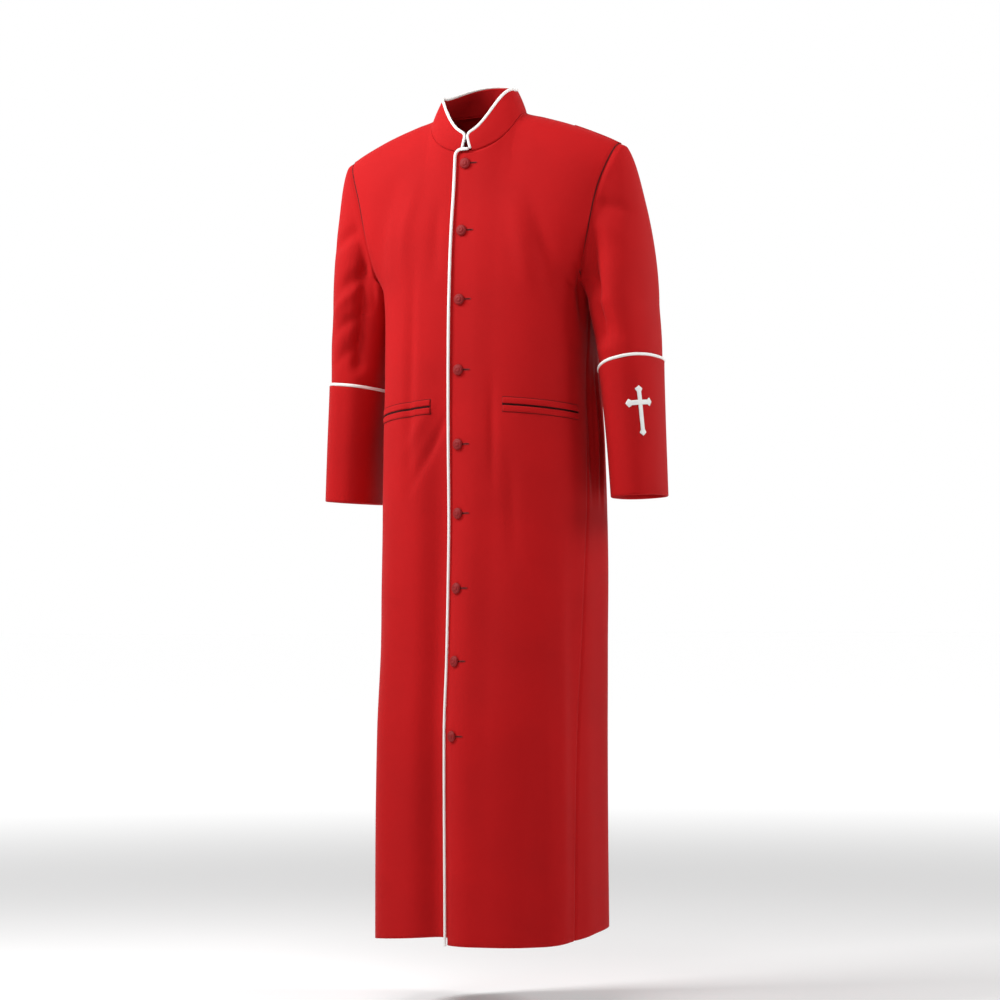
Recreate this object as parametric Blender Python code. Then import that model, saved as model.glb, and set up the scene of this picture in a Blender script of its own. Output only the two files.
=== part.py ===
"""An ankle-length clergy robe, worn form, with nobody in it.

Single-breasted, the wearer's left front lapped over the right one. Metres, +Z up,
front towards -Y, wearer's left towards +X. The origin lies between the two shoulder
points of the neck seam, where the wearer's shoulders carry the robe.

One smooth body surface is worked out from a table of level sections and the shoulder
line. Fronts and back are cut from that surface, sleeves run from their armholes, and
every panel is a thin wall: an outer sheet, an inner sheet one wall thickness inside it
and a rim that joins them.
"""
import math
from collections import namedtuple

import bmesh
import bpy
import numpy as np

# Cloth and seams
WALL = 0.002                # one layer of body or sleeve cloth
BAND_WALL = 0.003           # collar and cuffs, two layers with interlining
SEAM_GAP = 0.0003           # between pieces that are sewn together
PIPING_RADIUS = 0.0022

# Body sections from the collar down to the hem. Depths are at the centre line.
# Above the armpit the half width reaches out under the sleeve head.
Section = namedtuple("Section", "height half_width front back squareness")
BODY_SECTIONS = (
    Section(0.060, 0.310, 0.054, 0.055, 2.4),
    Section(0.000, 0.300, 0.062, 0.075, 2.4),
    Section(-0.062, 0.287, 0.064, 0.098, 2.4),
    Section(-0.130, 0.259, 0.071, 0.124, 2.4),
    Section(-0.200, 0.231, 0.082, 0.148, 2.5),
    Section(-0.260, 0.205, 0.089, 0.163, 2.6),
    Section(-0.300, 0.184, 0.092, 0.171, 2.8),
    Section(-0.360, 0.1805, 0.096, 0.178, 2.8),
    Section(-0.440, 0.181, 0.100, 0.183, 2.8),
    Section(-0.560, 0.188, 0.1045, 0.187, 2.7),
    Section(-0.680, 0.191, 0.1075, 0.188, 2.6),
    Section(-0.800, 0.191, 0.1165, 0.193, 2.5),
    Section(-0.920, 0.1905, 0.128, 0.199, 2.4),
    Section(-1.050, 0.1905, 0.143, 0.204, 2.4),
    Section(-1.200, 0.191, 0.147, 0.204, 2.4),
    Section(-1.410, 0.192, 0.148, 0.204, 2.4),
)

# Neck seam and shoulder line
NECK_HALF_WIDTH = 0.081
NECK_FRONT_HEIGHT = -0.069
NECK_BACK_HEIGHT = 0.012
NECK_BACK_DROP = 1.5
Shoulder = namedtuple("Shoulder", "side height")
SHOULDER_LINE = (
    Shoulder(0.000, 0.062),
    Shoulder(0.045, 0.037),
    Shoulder(0.070, 0.010),
    Shoulder(0.081, 0.000),
    Shoulder(0.115, -0.010),
    Shoulder(0.160, -0.024),
    Shoulder(0.200, -0.0395),
    Shoulder(0.240, -0.058),
    Shoulder(0.310, -0.106),
)
SHOULDER_ROUND_BELOW = -0.220   # height where the sections start to round in to the shoulder

# Armhole
ARMHOLE_TOP = -0.058
ARMHOLE_BOTTOM = -0.300
ARMHOLE_REACH = 0.61            # share of the section's half depth that the armhole takes in
ARMHOLE_FLATNESS = 4.0

# Side seams lie forward of the widest line, more so towards the hem
SeamPlace = namedtuple("SeamPlace", "height forward_degrees")
SIDE_SEAM = (
    SeamPlace(0.000, 0.0),
    SeamPlace(-0.300, 0.0),
    SeamPlace(-0.600, 8.0),
    SeamPlace(-0.900, 14.0),
    SeamPlace(-1.410, 20.0),
)

# Hem height round the body, in degrees from the centre front towards the wearer's left
HemPlace = namedtuple("HemPlace", "around height")
HEM_LEFT = (
    HemPlace(-20, -1.397),
    HemPlace(0, -1.397),
    HemPlace(40, -1.397),
    HemPlace(75, -1.390),
    HemPlace(105, -1.379),
    HemPlace(180, -1.389),
)
HEM_RIGHT = (
    HemPlace(-20, -1.385),
    HemPlace(0, -1.385),
    HemPlace(40, -1.392),
    HemPlace(75, -1.399),
    HemPlace(105, -1.401),
    HemPlace(180, -1.389),
)

# Long soft folds of the skirt. Around is in degrees from the centre front towards the
# wearer's left, width in degrees, heights and depth in metres, drift in degrees downwards.
Fold = namedtuple("Fold", "around width top fade depth drift")
FOLDS = (
    Fold(-33, 17, -0.640, 0.42, -0.0110, 4),
    Fold(-66, 9, -0.420, 0.20, -0.0040, -4),
    Fold(24, 12, -0.560, 0.30, -0.0040, -6),
    Fold(46, 9, -0.700, 0.30, 0.0040, 3),
    Fold(66, 8, -0.560, 0.30, -0.0040, 2),
    Fold(98, 12, -0.500, 0.30, 0.0060, 3),
    Fold(125, 13, -0.560, 0.35, -0.0070, -3),
    Fold(152, 12, -0.480, 0.40, 0.0080, 2),
    Fold(-98, 12, -0.520, 0.30, 0.0060, -3),
    Fold(-128, 14, -0.560, 0.35, -0.0080, 2),
    Fold(-160, 12, -0.500, 0.40, 0.0070, -2),
    Fold(179, 8, -0.600, 0.40, -0.0050, 0),
)

# Front lap
LAP_EDGE = 0.015                # the left front reaches this far past the centre
UNDERLAP_EDGE = 0.022           # and the right front this far under it
LAP_LIFT = 0.0024               # the lap lies on the right front
LAP_FLAT = 0.024
LAP_FADE = 0.065
LAP_CORNER = 0.009

# Collar
COLLAR_TOP_HALF_WIDTH = 0.066
COLLAR_TOP_FRONT = -0.0635
COLLAR_TOP_BACK = 0.053
COLLAR_TOP_BACK_HEIGHT = 0.0540
COLLAR_TOP_SIDE_HEIGHT = {1: 0.0360, -1: 0.0290}    # wearer's left and right
COLLAR_TOP_FRONT_HEIGHT = -0.0405
COLLAR_FRONT_DROP = 2.7
COLLAR_END_AT_SEAM = 0.0120
COLLAR_END_AT_TOP = 0.0052
COLLAR_CORNER = 0.006
COLLAR_BULGE = 0.0012
PIPING_CLEARANCE = 0.0001       # between the front's piping and the edge it binds
PIPING_TOP_END = 0.0062         # where the front's piping stops, beside the collar's end
PIPING_FOOT = 0.45               # share of the last step that the collar's piping takes

# Sleeves: centre line and half sizes of the tube, from the underarm down
SleeveRing = namedtuple("SleeveRing", "height side depth half_thickness half_width")
SLEEVE_LEFT = (
    SleeveRing(-0.330, 0.2385, 0.0490, 0.0525, 0.084),
    SleeveRing(-0.390, 0.2475, 0.0480, 0.0490, 0.077),
    SleeveRing(-0.456, 0.2545, 0.0455, 0.0445, 0.070),
    SleeveRing(-0.560, 0.2620, 0.0430, 0.0410, 0.065),
    SleeveRing(-0.670, 0.2680, 0.0420, 0.0390, 0.062),
)
SLEEVE_RIGHT = (
    SleeveRing(-0.330, 0.2385, 0.0490, 0.0525, 0.084),
    SleeveRing(-0.390, 0.2475, 0.0480, 0.0485, 0.077),
    SleeveRing(-0.456, 0.2530, 0.0455, 0.0440, 0.070),
    SleeveRing(-0.560, 0.2610, 0.0430, 0.0410, 0.065),
    SleeveRing(-0.670, 0.2680, 0.0420, 0.0390, 0.062),
)
SLEEVE_SQUARENESS = 2.4
UNDERARM = -0.330
Handles = namedtuple("Handles", "start end")
HEAD_TOP = Handles(0.028, 0.120)       # how far the head runs on along each end of its curve
HEAD_BOTTOM = Handles(0.008, 0.014)
HEAD_ROW_GATHER = 1.15          # the head's rows stand closer together at the armhole
TUBE_STEP = 0.01                # over which the tube's direction is taken
CUFF_HEM = -0.653
CUFF_TOP = {"left": -0.4275, "right": -0.4560}
CUFF_TOP_DIP = {"left": 0.018, "right": 0.003}      # the top edge dips towards the body
CUFF_DIP_PLACE = 2.5
SLEEVE_HEM_INSIDE_CUFF = 0.006

# Buttons down the centre front
BUTTON_HEIGHTS = (-0.090, -0.205, -0.322, -0.4405, -0.565, -0.6805, -0.8055, -0.927, -1.051)
BUTTON_RADIUS = 0.0093
ButtonRing = namedtuple("ButtonRing", "radius height")
BUTTON_PROFILE = (
    ButtonRing(0.80, 0.0000),
    ButtonRing(1.00, 0.0016),
    ButtonRing(0.92, 0.0036),
    ButtonRing(0.62, 0.0050),
    ButtonRing(0.30, 0.0054),
)

# Pockets: inner and outer end of the slit, in degrees of turn round the body, and height
PocketEnd = namedtuple("PocketEnd", "turn height")
POCKET_LEFT = (PocketEnd(18.0, -0.5000), PocketEnd(74.0, -0.5130))
POCKET_RIGHT = (PocketEnd(11.0, -0.5000), PocketEnd(59.0, -0.5110))
WELT_WIDTH = 0.0110
WELT_GAP = 0.0014
WELT_THICKNESS = 0.0012
REST_GAP = 0.0004               # between a panel and what lies on it

# Cross on the wearer's left cuff
CROSS_HEIGHT = 0.081
CROSS_SPAN = 0.049
CROSS_ARM_WIDTH = 0.0070
CROSS_TIP_WIDTH = 0.0132
CROSS_TIP_LENGTH = 0.0095
CROSS_THICKNESS = 0.0012
CROSS_CROSSING = -0.5030
CROSS_BAR_ABOVE_MIDDLE = 0.0135
CROSS_AROUND = 50.0             # degrees from the outer side of the cuff towards the front
CROSS_TILT = 3.0

# Mesh density
ROWS_SKIRT = 14
ROWS_YOKE = 9
COLUMNS_FRONT = 14              # beyond the lap's own columns
NECK_COLUMN_SHARES = (0.0, 0.07, 0.18, 0.38, 0.59, 0.80, 1.0)    # from the shoulder
COLUMNS_FRONT_NECK = len(NECK_COLUMN_SHARES) - 1
COLUMNS_BACK_NECK = 6
COLUMNS_BACK_SHOULDER = 8
SLEEVE_HEAD_ROWS = 8
SLEEVE_TUBE_ROWS = 3
CUFF_ROWS = 4
COLLAR_ROWS = 3
PIPING_SIDES = 6
BUTTON_SIDES = 12

RED_CLOTH = ("red gabardine", (0.60, 0.012, 0.014, 1.0), 0.85)
WHITE_PIPING = ("white satin piping", (0.90, 0.90, 0.89, 1.0), 0.55)
WHITE_EMBROIDERY = ("white embroidery", (0.86, 0.86, 0.86, 1.0), 0.60)


def smooth_curve(at, places, values):
    """Piecewise cubic through the table's points, without overshoot; flat beyond the ends."""
    order = np.argsort(places)
    x = np.asarray(places, float)[order]
    y = np.asarray(values, float)[order]
    step = np.diff(x)
    slope = np.diff(y) / step
    tangent = np.zeros_like(y)
    same_way = slope[:-1] * slope[1:] > 0
    weight_a = 2 * step[1:] + step[:-1]
    weight_b = step[1:] + 2 * step[:-1]
    safe = np.where(same_way, slope[:-1] * slope[1:], 1.0)
    harmonic = (weight_a + weight_b) * safe / (weight_a * slope[1:] + weight_b * slope[:-1] + ~same_way)
    tangent[1:-1] = np.where(same_way, harmonic, 0.0)
    tangent[0] = slope[0]
    tangent[-1] = slope[-1]
    at = np.clip(np.asarray(at, float), x[0], x[-1])
    k = np.clip(np.searchsorted(x, at) - 1, 0, len(step) - 1)
    t = (at - x[k]) / step[k]
    start = (1 + 2 * t) * (1 - t) ** 2 * y[k] + t * (1 - t) ** 2 * step[k] * tangent[k]
    end = t * t * (3 - 2 * t) * y[k + 1] + t * t * (t - 1) * step[k] * tangent[k + 1]
    return start + end


def column(table, name):
    """One named column of a table, as an array."""
    return np.array([getattr(row, name) for row in table])


def from_table(table, place, name, at):
    """The table's column `name` at the given values of its column `place`."""
    return smooth_curve(at, column(table, place), column(table, name))


def ease(x):
    """0 below 0, 1 above 1, and a smooth rise between."""
    x = np.clip(x, 0.0, 1.0)
    return x * x * (3 - 2 * x)


def unit(v):
    """Vectors along the last axis, scaled to length one."""
    return v / np.maximum(np.linalg.norm(v, axis=-1, keepdims=True), 1e-12)


def level(v):
    """Vectors made level and scaled to length one."""
    return unit(v * np.array([1.0, 1.0, 0.0]))


def section(name, height):
    """One column of the body's table of sections."""
    return from_table(BODY_SECTIONS, "height", name, height)


def section_middle(height):
    """Where the section's widest line lies, front to back."""
    return (section("back", height) - section("front", height)) / 2


def shoulder_height(side):
    """Height of the shoulder line this far out."""
    return from_table(SHOULDER_LINE, "side", "height", np.abs(side))


def shoulder_rounding(side, height):
    """1 below the chest, falling as a quarter circle to 0 at the shoulder line."""
    span = shoulder_height(side) - SHOULDER_ROUND_BELOW
    t = np.clip((height - SHOULDER_ROUND_BELOW) / span, 0.0, 1.0)
    return np.sqrt(1 - t * t)


def fold_depth(around, height):
    """Sum of the table's folds: each a bell across and a soft start below its top."""
    total = np.zeros(np.broadcast(around, height).shape)
    for fold in FOLDS:
        below = (fold.top - height) / fold.fade
        middle = fold.around + fold.drift * np.clip(below, 0.0, 2.0)
        off = (around - middle + 180) % 360 - 180
        total = total + fold.depth * np.exp(-(off / fold.width) ** 2) * ease(below)
    return total


def body_surface(turn, height, mirror=1):
    """Outer body surface. Turn runs from 0 at the centre front over 90 degrees at the side
    to 180 at the centre back, and is negative past the centre front. Each level section is
    a superellipse of the table's sizes, rounded in to the shoulder line, with folds pushed
    straight out from its middle. Mirror -1 gives the wearer's right half."""
    turn = np.radians(turn)
    half_width = section("half_width", height)
    front = section("front", height)
    half_depth = (front + section("back", height)) / 2
    power = 2 / section("squareness", height)
    across = np.sign(np.sin(turn)) * np.abs(np.sin(turn)) ** power
    along = np.sign(np.cos(turn)) * np.abs(np.cos(turn)) ** power
    x = half_width * across
    rounding = shoulder_rounding(x, height) / np.maximum(shoulder_rounding(0.0, height), 1e-6)
    y_off = -half_depth * along * rounding
    around = np.degrees(np.arctan2(mirror * x, -y_off))
    push = fold_depth(around, height)
    reach = np.maximum(np.hypot(x, y_off), 1e-6)
    return np.stack([mirror * x * (1 + push / reach),
                     section_middle(height) + y_off * (1 + push / reach),
                     np.broadcast_to(height, x.shape)], axis=-1)


def turn_at_side(x, height, back=False):
    """The turn at which the body surface is this far out, on the front or the back."""
    share = np.clip(np.abs(x) / section("half_width", height), 0.0, 1.0)
    turn = np.degrees(np.arcsin(share ** (section("squareness", height) / 2))) * np.sign(x)
    return 180 - turn if back else turn


def armhole(share, back=False):
    """Turn and height along one half of the armhole, from the underarm (0) to the tip (1)."""
    angle = np.pi * (1 - share)
    middle = (ARMHOLE_TOP + ARMHOLE_BOTTOM) / 2
    height = middle + (ARMHOLE_TOP - ARMHOLE_BOTTOM) / 2 * np.cos(angle)
    reach = ARMHOLE_REACH * (1 - (angle / np.pi) ** ARMHOLE_FLATNESS)
    turn = np.degrees(np.arccos(reach ** (section("squareness", height) / 2)))
    tip = section("half_width", ARMHOLE_TOP) * np.sin(np.radians(turn[-1])) ** (
        2 / section("squareness", ARMHOLE_TOP))
    height = height + (shoulder_height(tip) - ARMHOLE_TOP) * share ** 6
    return (180 - turn if back else turn), height


def neck_height(swing):
    """Height of the neck seam; swing is 0 at the centre back and 180 at the centre front."""
    c = np.cos(np.radians(swing))
    back = NECK_BACK_HEIGHT * np.maximum(c, 0) ** NECK_BACK_DROP
    return back + NECK_FRONT_HEIGHT * np.maximum(-c, 0)


def neck_columns(edge):
    """Swings of a front's columns along the neck, from the shoulder to this far from the
    centre."""
    last = 180 - np.degrees(np.arcsin(edge / NECK_HALF_WIDTH))
    return 90 + (last - 90) * np.array(NECK_COLUMN_SHARES)


def turn_along_row(first, last, height, steps):
    """Turns that part each level row, between two turns, into steps of equal length."""
    dense = np.linspace(0.0, 1.0, 240)
    turn = first[:, None] + (last - first)[:, None] * dense
    line = body_surface(turn, height[:, None])
    length = np.zeros(turn.shape)
    length[:, 1:] = np.cumsum(np.linalg.norm(np.diff(line, axis=1), axis=-1), axis=1)
    wanted = np.linspace(0.0, 1.0, steps + 1)
    return np.stack([np.interp(wanted * run[-1], run, row) for run, row in zip(length, turn)])


def lap_columns(edge, other_edge):
    """Side distances of the columns near the centre, shared by both fronts."""
    return np.array([-edge, -edge / 2, 0.0, other_edge / 2, other_edge])


def yoke(bottom_turn, top_turn, top_height, edge_turn, arm_turn, arm_height):
    """Turn and height of the rows from the armpit level to the neck and shoulder seams.
    A blend of the four edges, in turn and in the square root of the share of the height
    that is left up to the shoulder line, which is even over the rounded shoulder."""
    def share_up(turn, height):
        x = section("half_width", height) * np.abs(np.sin(np.radians(turn))) ** (
            2 / section("squareness", height))
        return (height - ARMHOLE_BOTTOM) / (shoulder_height(x) - ARMHOLE_BOTTOM)

    v = np.linspace(0.0, 1.0, len(arm_turn))[:, None]
    u = np.linspace(0.0, 1.0, len(bottom_turn))[None, :]
    top_share = share_up(top_turn, top_height)[None, :]
    arm_share = share_up(arm_turn, arm_height)[:, None]
    arm_share[-1] = top_share[0, -1]
    turn = ((1 - v) * bottom_turn[None, :] + v * top_turn[None, :]
            + (1 - u) * edge_turn[:, None] + u * arm_turn[:, None]
            - (1 - u) * ((1 - v) * bottom_turn[0] + v * top_turn[0])
            - u * ((1 - v) * bottom_turn[-1] + v * top_turn[-1]))

    def short(share):
        return np.sqrt(np.clip(1 - share, 0.0, 1.0))

    top = short(top_share)
    edge = short(v * top_share[0, 0])
    arm = short(arm_share)
    left_over = ((1 - v) + v * top + (1 - u) * edge + u * arm
                 - (1 - u) * (1 - v + v * top[:, :1]) - u * (1 - v + v * top[:, -1:]))
    share = 1 - np.clip(left_over, 0.0, 1.0) ** 2
    height = ARMHOLE_BOTTOM + share * (0.0 - ARMHOLE_BOTTOM)
    for _ in range(12):
        x = section("half_width", height) * np.abs(np.sin(np.radians(turn))) ** (
            2 / section("squareness", height))
        height = ARMHOLE_BOTTOM + share * (shoulder_height(x) - ARMHOLE_BOTTOM)
    return turn, height


def hem_height(mirror, turn):
    """Height of the hem at this turn, on the wearer's left (1) or right (-1) half."""
    return from_table(HEM_LEFT if mirror > 0 else HEM_RIGHT, "around", "height", turn)


def seam_turn(height):
    """Turn of the side seam at this height."""
    return 90.0 - from_table(SIDE_SEAM, "height", "forward_degrees", height)


def front_grid(mirror, edge, other_edge, sizes):
    """Turn and height of a front's grid: rows from the hem up, columns from the edge out."""
    rows_skirt, rows_yoke, columns, columns_neck = sizes
    lap = lap_columns(edge, other_edge)
    levels = np.linspace(0.0, 1.0, rows_skirt + 1)
    base = hem_height(mirror, 90.0) + (ARMHOLE_BOTTOM - hem_height(mirror, 90.0)) * levels
    lap_turn = turn_at_side(lap[None, :], base[:, None])
    out_turn = turn_along_row(lap_turn[:, -1], seam_turn(base), base, columns)
    turn = np.concatenate([lap_turn[:, :-1], out_turn], axis=1)
    hem = hem_height(mirror, turn[0])
    height = hem[None, :] + (ARMHOLE_BOTTOM - hem[None, :]) * levels[:, None]
    turn[:, :5] = turn_at_side(lap[None, :], height[:, :5])

    swing = neck_columns(other_edge)[::-1][1:]
    neck_x = np.concatenate([lap, NECK_HALF_WIDTH * np.sin(np.radians(swing))])
    neck_z = np.concatenate([neck_height(180 - np.degrees(np.arcsin(np.maximum(lap, 0)
                                                                    / NECK_HALF_WIDTH))),
                             neck_height(swing)])
    arm_turn, arm_height = armhole(np.linspace(0.0, 1.0, rows_yoke + 1))
    tip_x = section("half_width", arm_height[-1]) * np.sin(np.radians(arm_turn[-1])) ** (
        2 / section("squareness", arm_height[-1]))
    shoulder_x = np.linspace(NECK_HALF_WIDTH, tip_x, columns - columns_neck + 1)[1:]
    top_x = np.concatenate([neck_x, shoulder_x])
    top_z = np.concatenate([neck_z, shoulder_height(shoulder_x)])
    top_turn = turn_at_side(top_x, top_z)
    rise = np.linspace(0.0, 1.0, rows_yoke + 1)[:, None]
    lap_height = ARMHOLE_BOTTOM + (top_z[:5] - ARMHOLE_BOTTOM) * rise
    lap_turn = turn_at_side(lap[None, :], lap_height)
    yoke_turn, yoke_height = yoke(turn[-1, 4:], top_turn[4:], top_z[4:], lap_turn[:, 4],
                                  arm_turn, arm_height)
    turn = np.concatenate([turn, np.concatenate([lap_turn[:, :4], yoke_turn], axis=1)[1:]])
    height = np.concatenate([height, np.concatenate([lap_height[:, :4], yoke_height], axis=1)[1:]])

    # The free corner at the top of the lap is rounded
    rise = np.clip(height - (NECK_FRONT_HEIGHT - LAP_CORNER), 0.0, LAP_CORNER)
    corner_x = -edge + LAP_CORNER - np.sqrt(LAP_CORNER ** 2 - rise ** 2)
    x = np.broadcast_to(lap, (len(height), 5)).copy()
    x = np.where(x < 0, x * corner_x[:, :5] / -edge, x)
    turn[:, :5] = turn_at_side(x, height[:, :5])
    return turn, height


def back_grid(mirror, sizes):
    """Turn and height of half the back: rows from the hem up, columns from the centre out."""
    rows_skirt, rows_yoke, columns_neck, columns_shoulder = sizes
    columns = columns_neck + columns_shoulder
    levels = np.linspace(0.0, 1.0, rows_skirt + 1)
    base = hem_height(mirror, 90.0) + (ARMHOLE_BOTTOM - hem_height(mirror, 90.0)) * levels
    turn = turn_along_row(np.full(len(base), 180.0), seam_turn(base), base, columns)
    hem = hem_height(mirror, turn[0])
    height = hem[None, :] + (ARMHOLE_BOTTOM - hem[None, :]) * levels[:, None]

    swing = np.linspace(0, 90, columns_neck + 1)
    arm_turn, arm_height = armhole(np.linspace(0.0, 1.0, rows_yoke + 1), back=True)
    tip_x = section("half_width", arm_height[-1]) * np.sin(np.radians(arm_turn[-1])) ** (
        2 / section("squareness", arm_height[-1]))
    shoulder_x = np.linspace(NECK_HALF_WIDTH, tip_x, columns_shoulder + 1)[1:]
    top_x = np.concatenate([NECK_HALF_WIDTH * np.sin(np.radians(swing)), shoulder_x])
    top_z = np.concatenate([neck_height(swing), shoulder_height(shoulder_x)])
    top_turn = turn_at_side(top_x, top_z, back=True)
    yoke_turn, yoke_height = yoke(turn[-1], top_turn, top_z, np.full(len(arm_turn), 180.0),
                                  arm_turn, arm_height)
    return np.concatenate([turn, yoke_turn[1:]]), np.concatenate([height, yoke_height[1:]])


def grid_normals(points, closed=False):
    """Unit normals of a grid of points, each the sum of its quads' areas; column cross row."""
    wide = np.concatenate([points, points[:, :1]], axis=1) if closed else points
    area = np.cross(wide[1:, 1:] - wide[:-1, :-1], wide[1:, :-1] - wide[:-1, 1:])
    total = np.zeros_like(wide)
    for row in (slice(None, -1), slice(1, None)):
        for place in (slice(None, -1), slice(1, None)):
            total[row, place] += area
    if closed:
        total[:, 0] += total[:, -1]
        total = total[:, :-1]
    return unit(total)


def share_seam(one, other):
    """Average the normals of two panels along the seam that they share."""
    middle = unit(one + other)
    one[...] = middle
    other[...] = middle


def lap_lift(x):
    """How far the left front stands out where it laps over the right one."""
    return LAP_LIFT * (1 - ease((x - LAP_FLAT) / (LAP_FADE - LAP_FLAT)))


def panels(front_sizes, back_sizes):
    """Outer points and normals of both fronts and of the back."""
    left = body_surface(*front_grid(1, LAP_EDGE, UNDERLAP_EDGE, front_sizes), mirror=1)
    right = body_surface(*front_grid(-1, UNDERLAP_EDGE, LAP_EDGE, front_sizes), mirror=-1)
    back_left = body_surface(*back_grid(1, back_sizes), mirror=1)
    back_right = body_surface(*back_grid(-1, back_sizes), mirror=-1)
    back = np.concatenate([back_right[:, :0:-1], back_left], axis=1)

    normals = {"left": grid_normals(left), "right": -grid_normals(right),
               "back": -grid_normals(back)}
    skirt_rows = front_sizes[0] + 1
    neck_end = 4 + front_sizes[3]
    half = back_left.shape[1] - 1
    share_seam(normals["left"][:skirt_rows, -1], normals["back"][:skirt_rows, -1])
    share_seam(normals["right"][:skirt_rows, -1], normals["back"][:skirt_rows, 0])
    shoulder = front_sizes[2] - front_sizes[3] + 1
    share_seam(normals["left"][-1, neck_end:], normals["back"][-1, -shoulder:])
    share_seam(normals["right"][-1, neck_end:], normals["back"][-1, :shoulder][::-1])
    return left, right, back, normals, neck_end, half


def wall(outer, inner, closed=False):
    """Vertices and faces of a thin wall between two grids of points, its rims closed."""
    rows, columns = outer.shape[:2]
    count = rows * columns
    index = np.arange(count).reshape(rows, columns)
    if closed:
        index = np.concatenate([index, index[:, :1]], axis=1)
    faces = []

    def strip(a, b, c, d):
        faces.append(np.stack([a, b, c, d], axis=-1).reshape(-1, 4))

    # Each quad of the two faces is parted along its shorter diagonal
    flat = outer.reshape(-1, 3)
    a, b, c, d = [corner.reshape(-1) for corner in (index[:-1, :-1], index[:-1, 1:],
                                                    index[1:, 1:], index[1:, :-1])]
    first = np.linalg.norm(flat[a] - flat[c], axis=1) <= np.linalg.norm(flat[b] - flat[d], axis=1)
    halves = np.concatenate([np.stack([a, b, np.where(first, c, d)], axis=1),
                             np.stack([np.where(first, a, b), c, d], axis=1)])
    triangles = np.concatenate([halves, halves[:, ::-1] + count])
    strip(index[0, :-1], index[0, :-1] + count, index[0, 1:] + count, index[0, 1:])
    strip(index[-1, :-1], index[-1, 1:], index[-1, 1:] + count, index[-1, :-1] + count)
    if not closed:
        strip(index[:-1, 0], index[1:, 0], index[1:, 0] + count, index[:-1, 0] + count)
        strip(index[:-1, -1], index[:-1, -1] + count, index[1:, -1] + count, index[1:, -1])
    points = np.concatenate([flat, inner.reshape(-1, 3)])
    solid = [tuple(int(i) for i in face) for face in triangles]
    return points, solid + [tuple(int(i) for i in face) for face in np.concatenate(faces)]


def cord(path, normals, radius, sides, closed=False):
    """Vertices and faces of a round cord along a path, its rings square to the path."""
    if closed:
        along = unit(np.roll(path, -1, axis=0) - np.roll(path, 1, axis=0))
    else:
        along = unit(np.gradient(path, axis=0))
    up = unit(normals - along * np.sum(normals * along, axis=-1, keepdims=True))
    across = np.cross(along, up)
    turn = np.linspace(0, 2 * np.pi, sides, endpoint=False)
    ring = (up[:, None] * np.cos(turn)[None, :, None]
            + across[:, None] * np.sin(turn)[None, :, None])
    points = (path[:, None] + radius * ring).reshape(-1, 3)
    count = len(path)
    faces = []
    for i in range(count if closed else count - 1):
        here = i * sides
        there = ((i + 1) % count) * sides
        for k in range(sides):
            n = (k + 1) % sides
            faces.append((here + k, there + k, there + n, here + n))
    if not closed:
        faces.append(tuple(range(sides)))
        faces.append(tuple(reversed(range((count - 1) * sides, count * sides))))
    return points, faces


def material(look):
    """The named Principled material, made once."""
    name, colour, roughness = look
    found = bpy.data.materials.get(name)
    if found is None:
        found = bpy.data.materials.new(name)
        found.use_nodes = True
        shader = found.node_tree.nodes["Principled BSDF"]
        shader.inputs["Base Color"].default_value = colour
        shader.inputs["Roughness"].default_value = roughness
        shader.inputs["Metallic"].default_value = 0.0
    return found


def add_object(name, points, faces, look):
    """One closed solid as an object of its own, faces turned outwards."""
    mesh = bpy.data.meshes.new(name)
    mesh.from_pydata([tuple(p) for p in points], [], faces)
    mesh.validate()
    work = bmesh.new()
    work.from_mesh(mesh)
    bmesh.ops.recalc_face_normals(work, faces=work.faces)
    work.to_mesh(mesh)
    work.free()
    mesh.shade_smooth()
    mesh.set_sharp_from_angle(angle=math.radians(40))
    mesh.materials.append(material(look))
    item = bpy.data.objects.new(name, mesh)
    bpy.context.scene.collection.objects.link(item)
    return item


def trim_panel(outer, inner, line, towards):
    """Leave half the seam gap along one edge, the same way on both faces of the wall."""
    shift = SEAM_GAP / 2 * unit(outer[towards] - outer[line])
    outer[line] += shift
    inner[line] += shift


def build_body(left, right, back, normals, skirt_rows, neck_end, half):
    """Both fronts and the back, each a wall inside its outer points."""
    shapes = {"front_left": (left, normals["left"]),
              "front_right": (right, normals["right"]),
              "back": (back, normals["back"])}
    seam = slice(0, skirt_rows)
    for name, (points, normal) in shapes.items():
        outer = points.copy()
        inner = outer - WALL * normal
        if name == "back":
            trim_panel(outer, inner, (seam, -1), (seam, -2))
            trim_panel(outer, inner, (seam, 0), (seam, 1))
            right_shoulder = slice(0, 2 * half + 1 - (half + COLUMNS_BACK_NECK))
            left_shoulder = slice(half + COLUMNS_BACK_NECK, 2 * half + 1)
            trim_panel(outer, inner, (-1, right_shoulder), (-2, right_shoulder))
            trim_panel(outer, inner, (-1, left_shoulder), (-2, left_shoulder))
        else:
            trim_panel(outer, inner, (seam, -1), (seam, -2))
            shoulder = slice(neck_end, outer.shape[1])
            trim_panel(outer, inner, (-1, shoulder), (-2, shoulder))
        add_object(name, *wall(outer, inner), RED_CLOTH)


def neck_knots(mirror):
    """Swings of the panels' columns along the neck, from the centre back to the centre front."""
    lap = UNDERLAP_EDGE if mirror > 0 else LAP_EDGE
    lap_sides = np.array([lap, lap / 2, 0.0])
    lap_swing = 180 - np.degrees(np.arcsin(lap_sides / NECK_HALF_WIDTH))
    return np.concatenate([np.linspace(0, 90, COLUMNS_BACK_NECK + 1), neck_columns(lap)[1:],
                           lap_swing[1:]])


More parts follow.
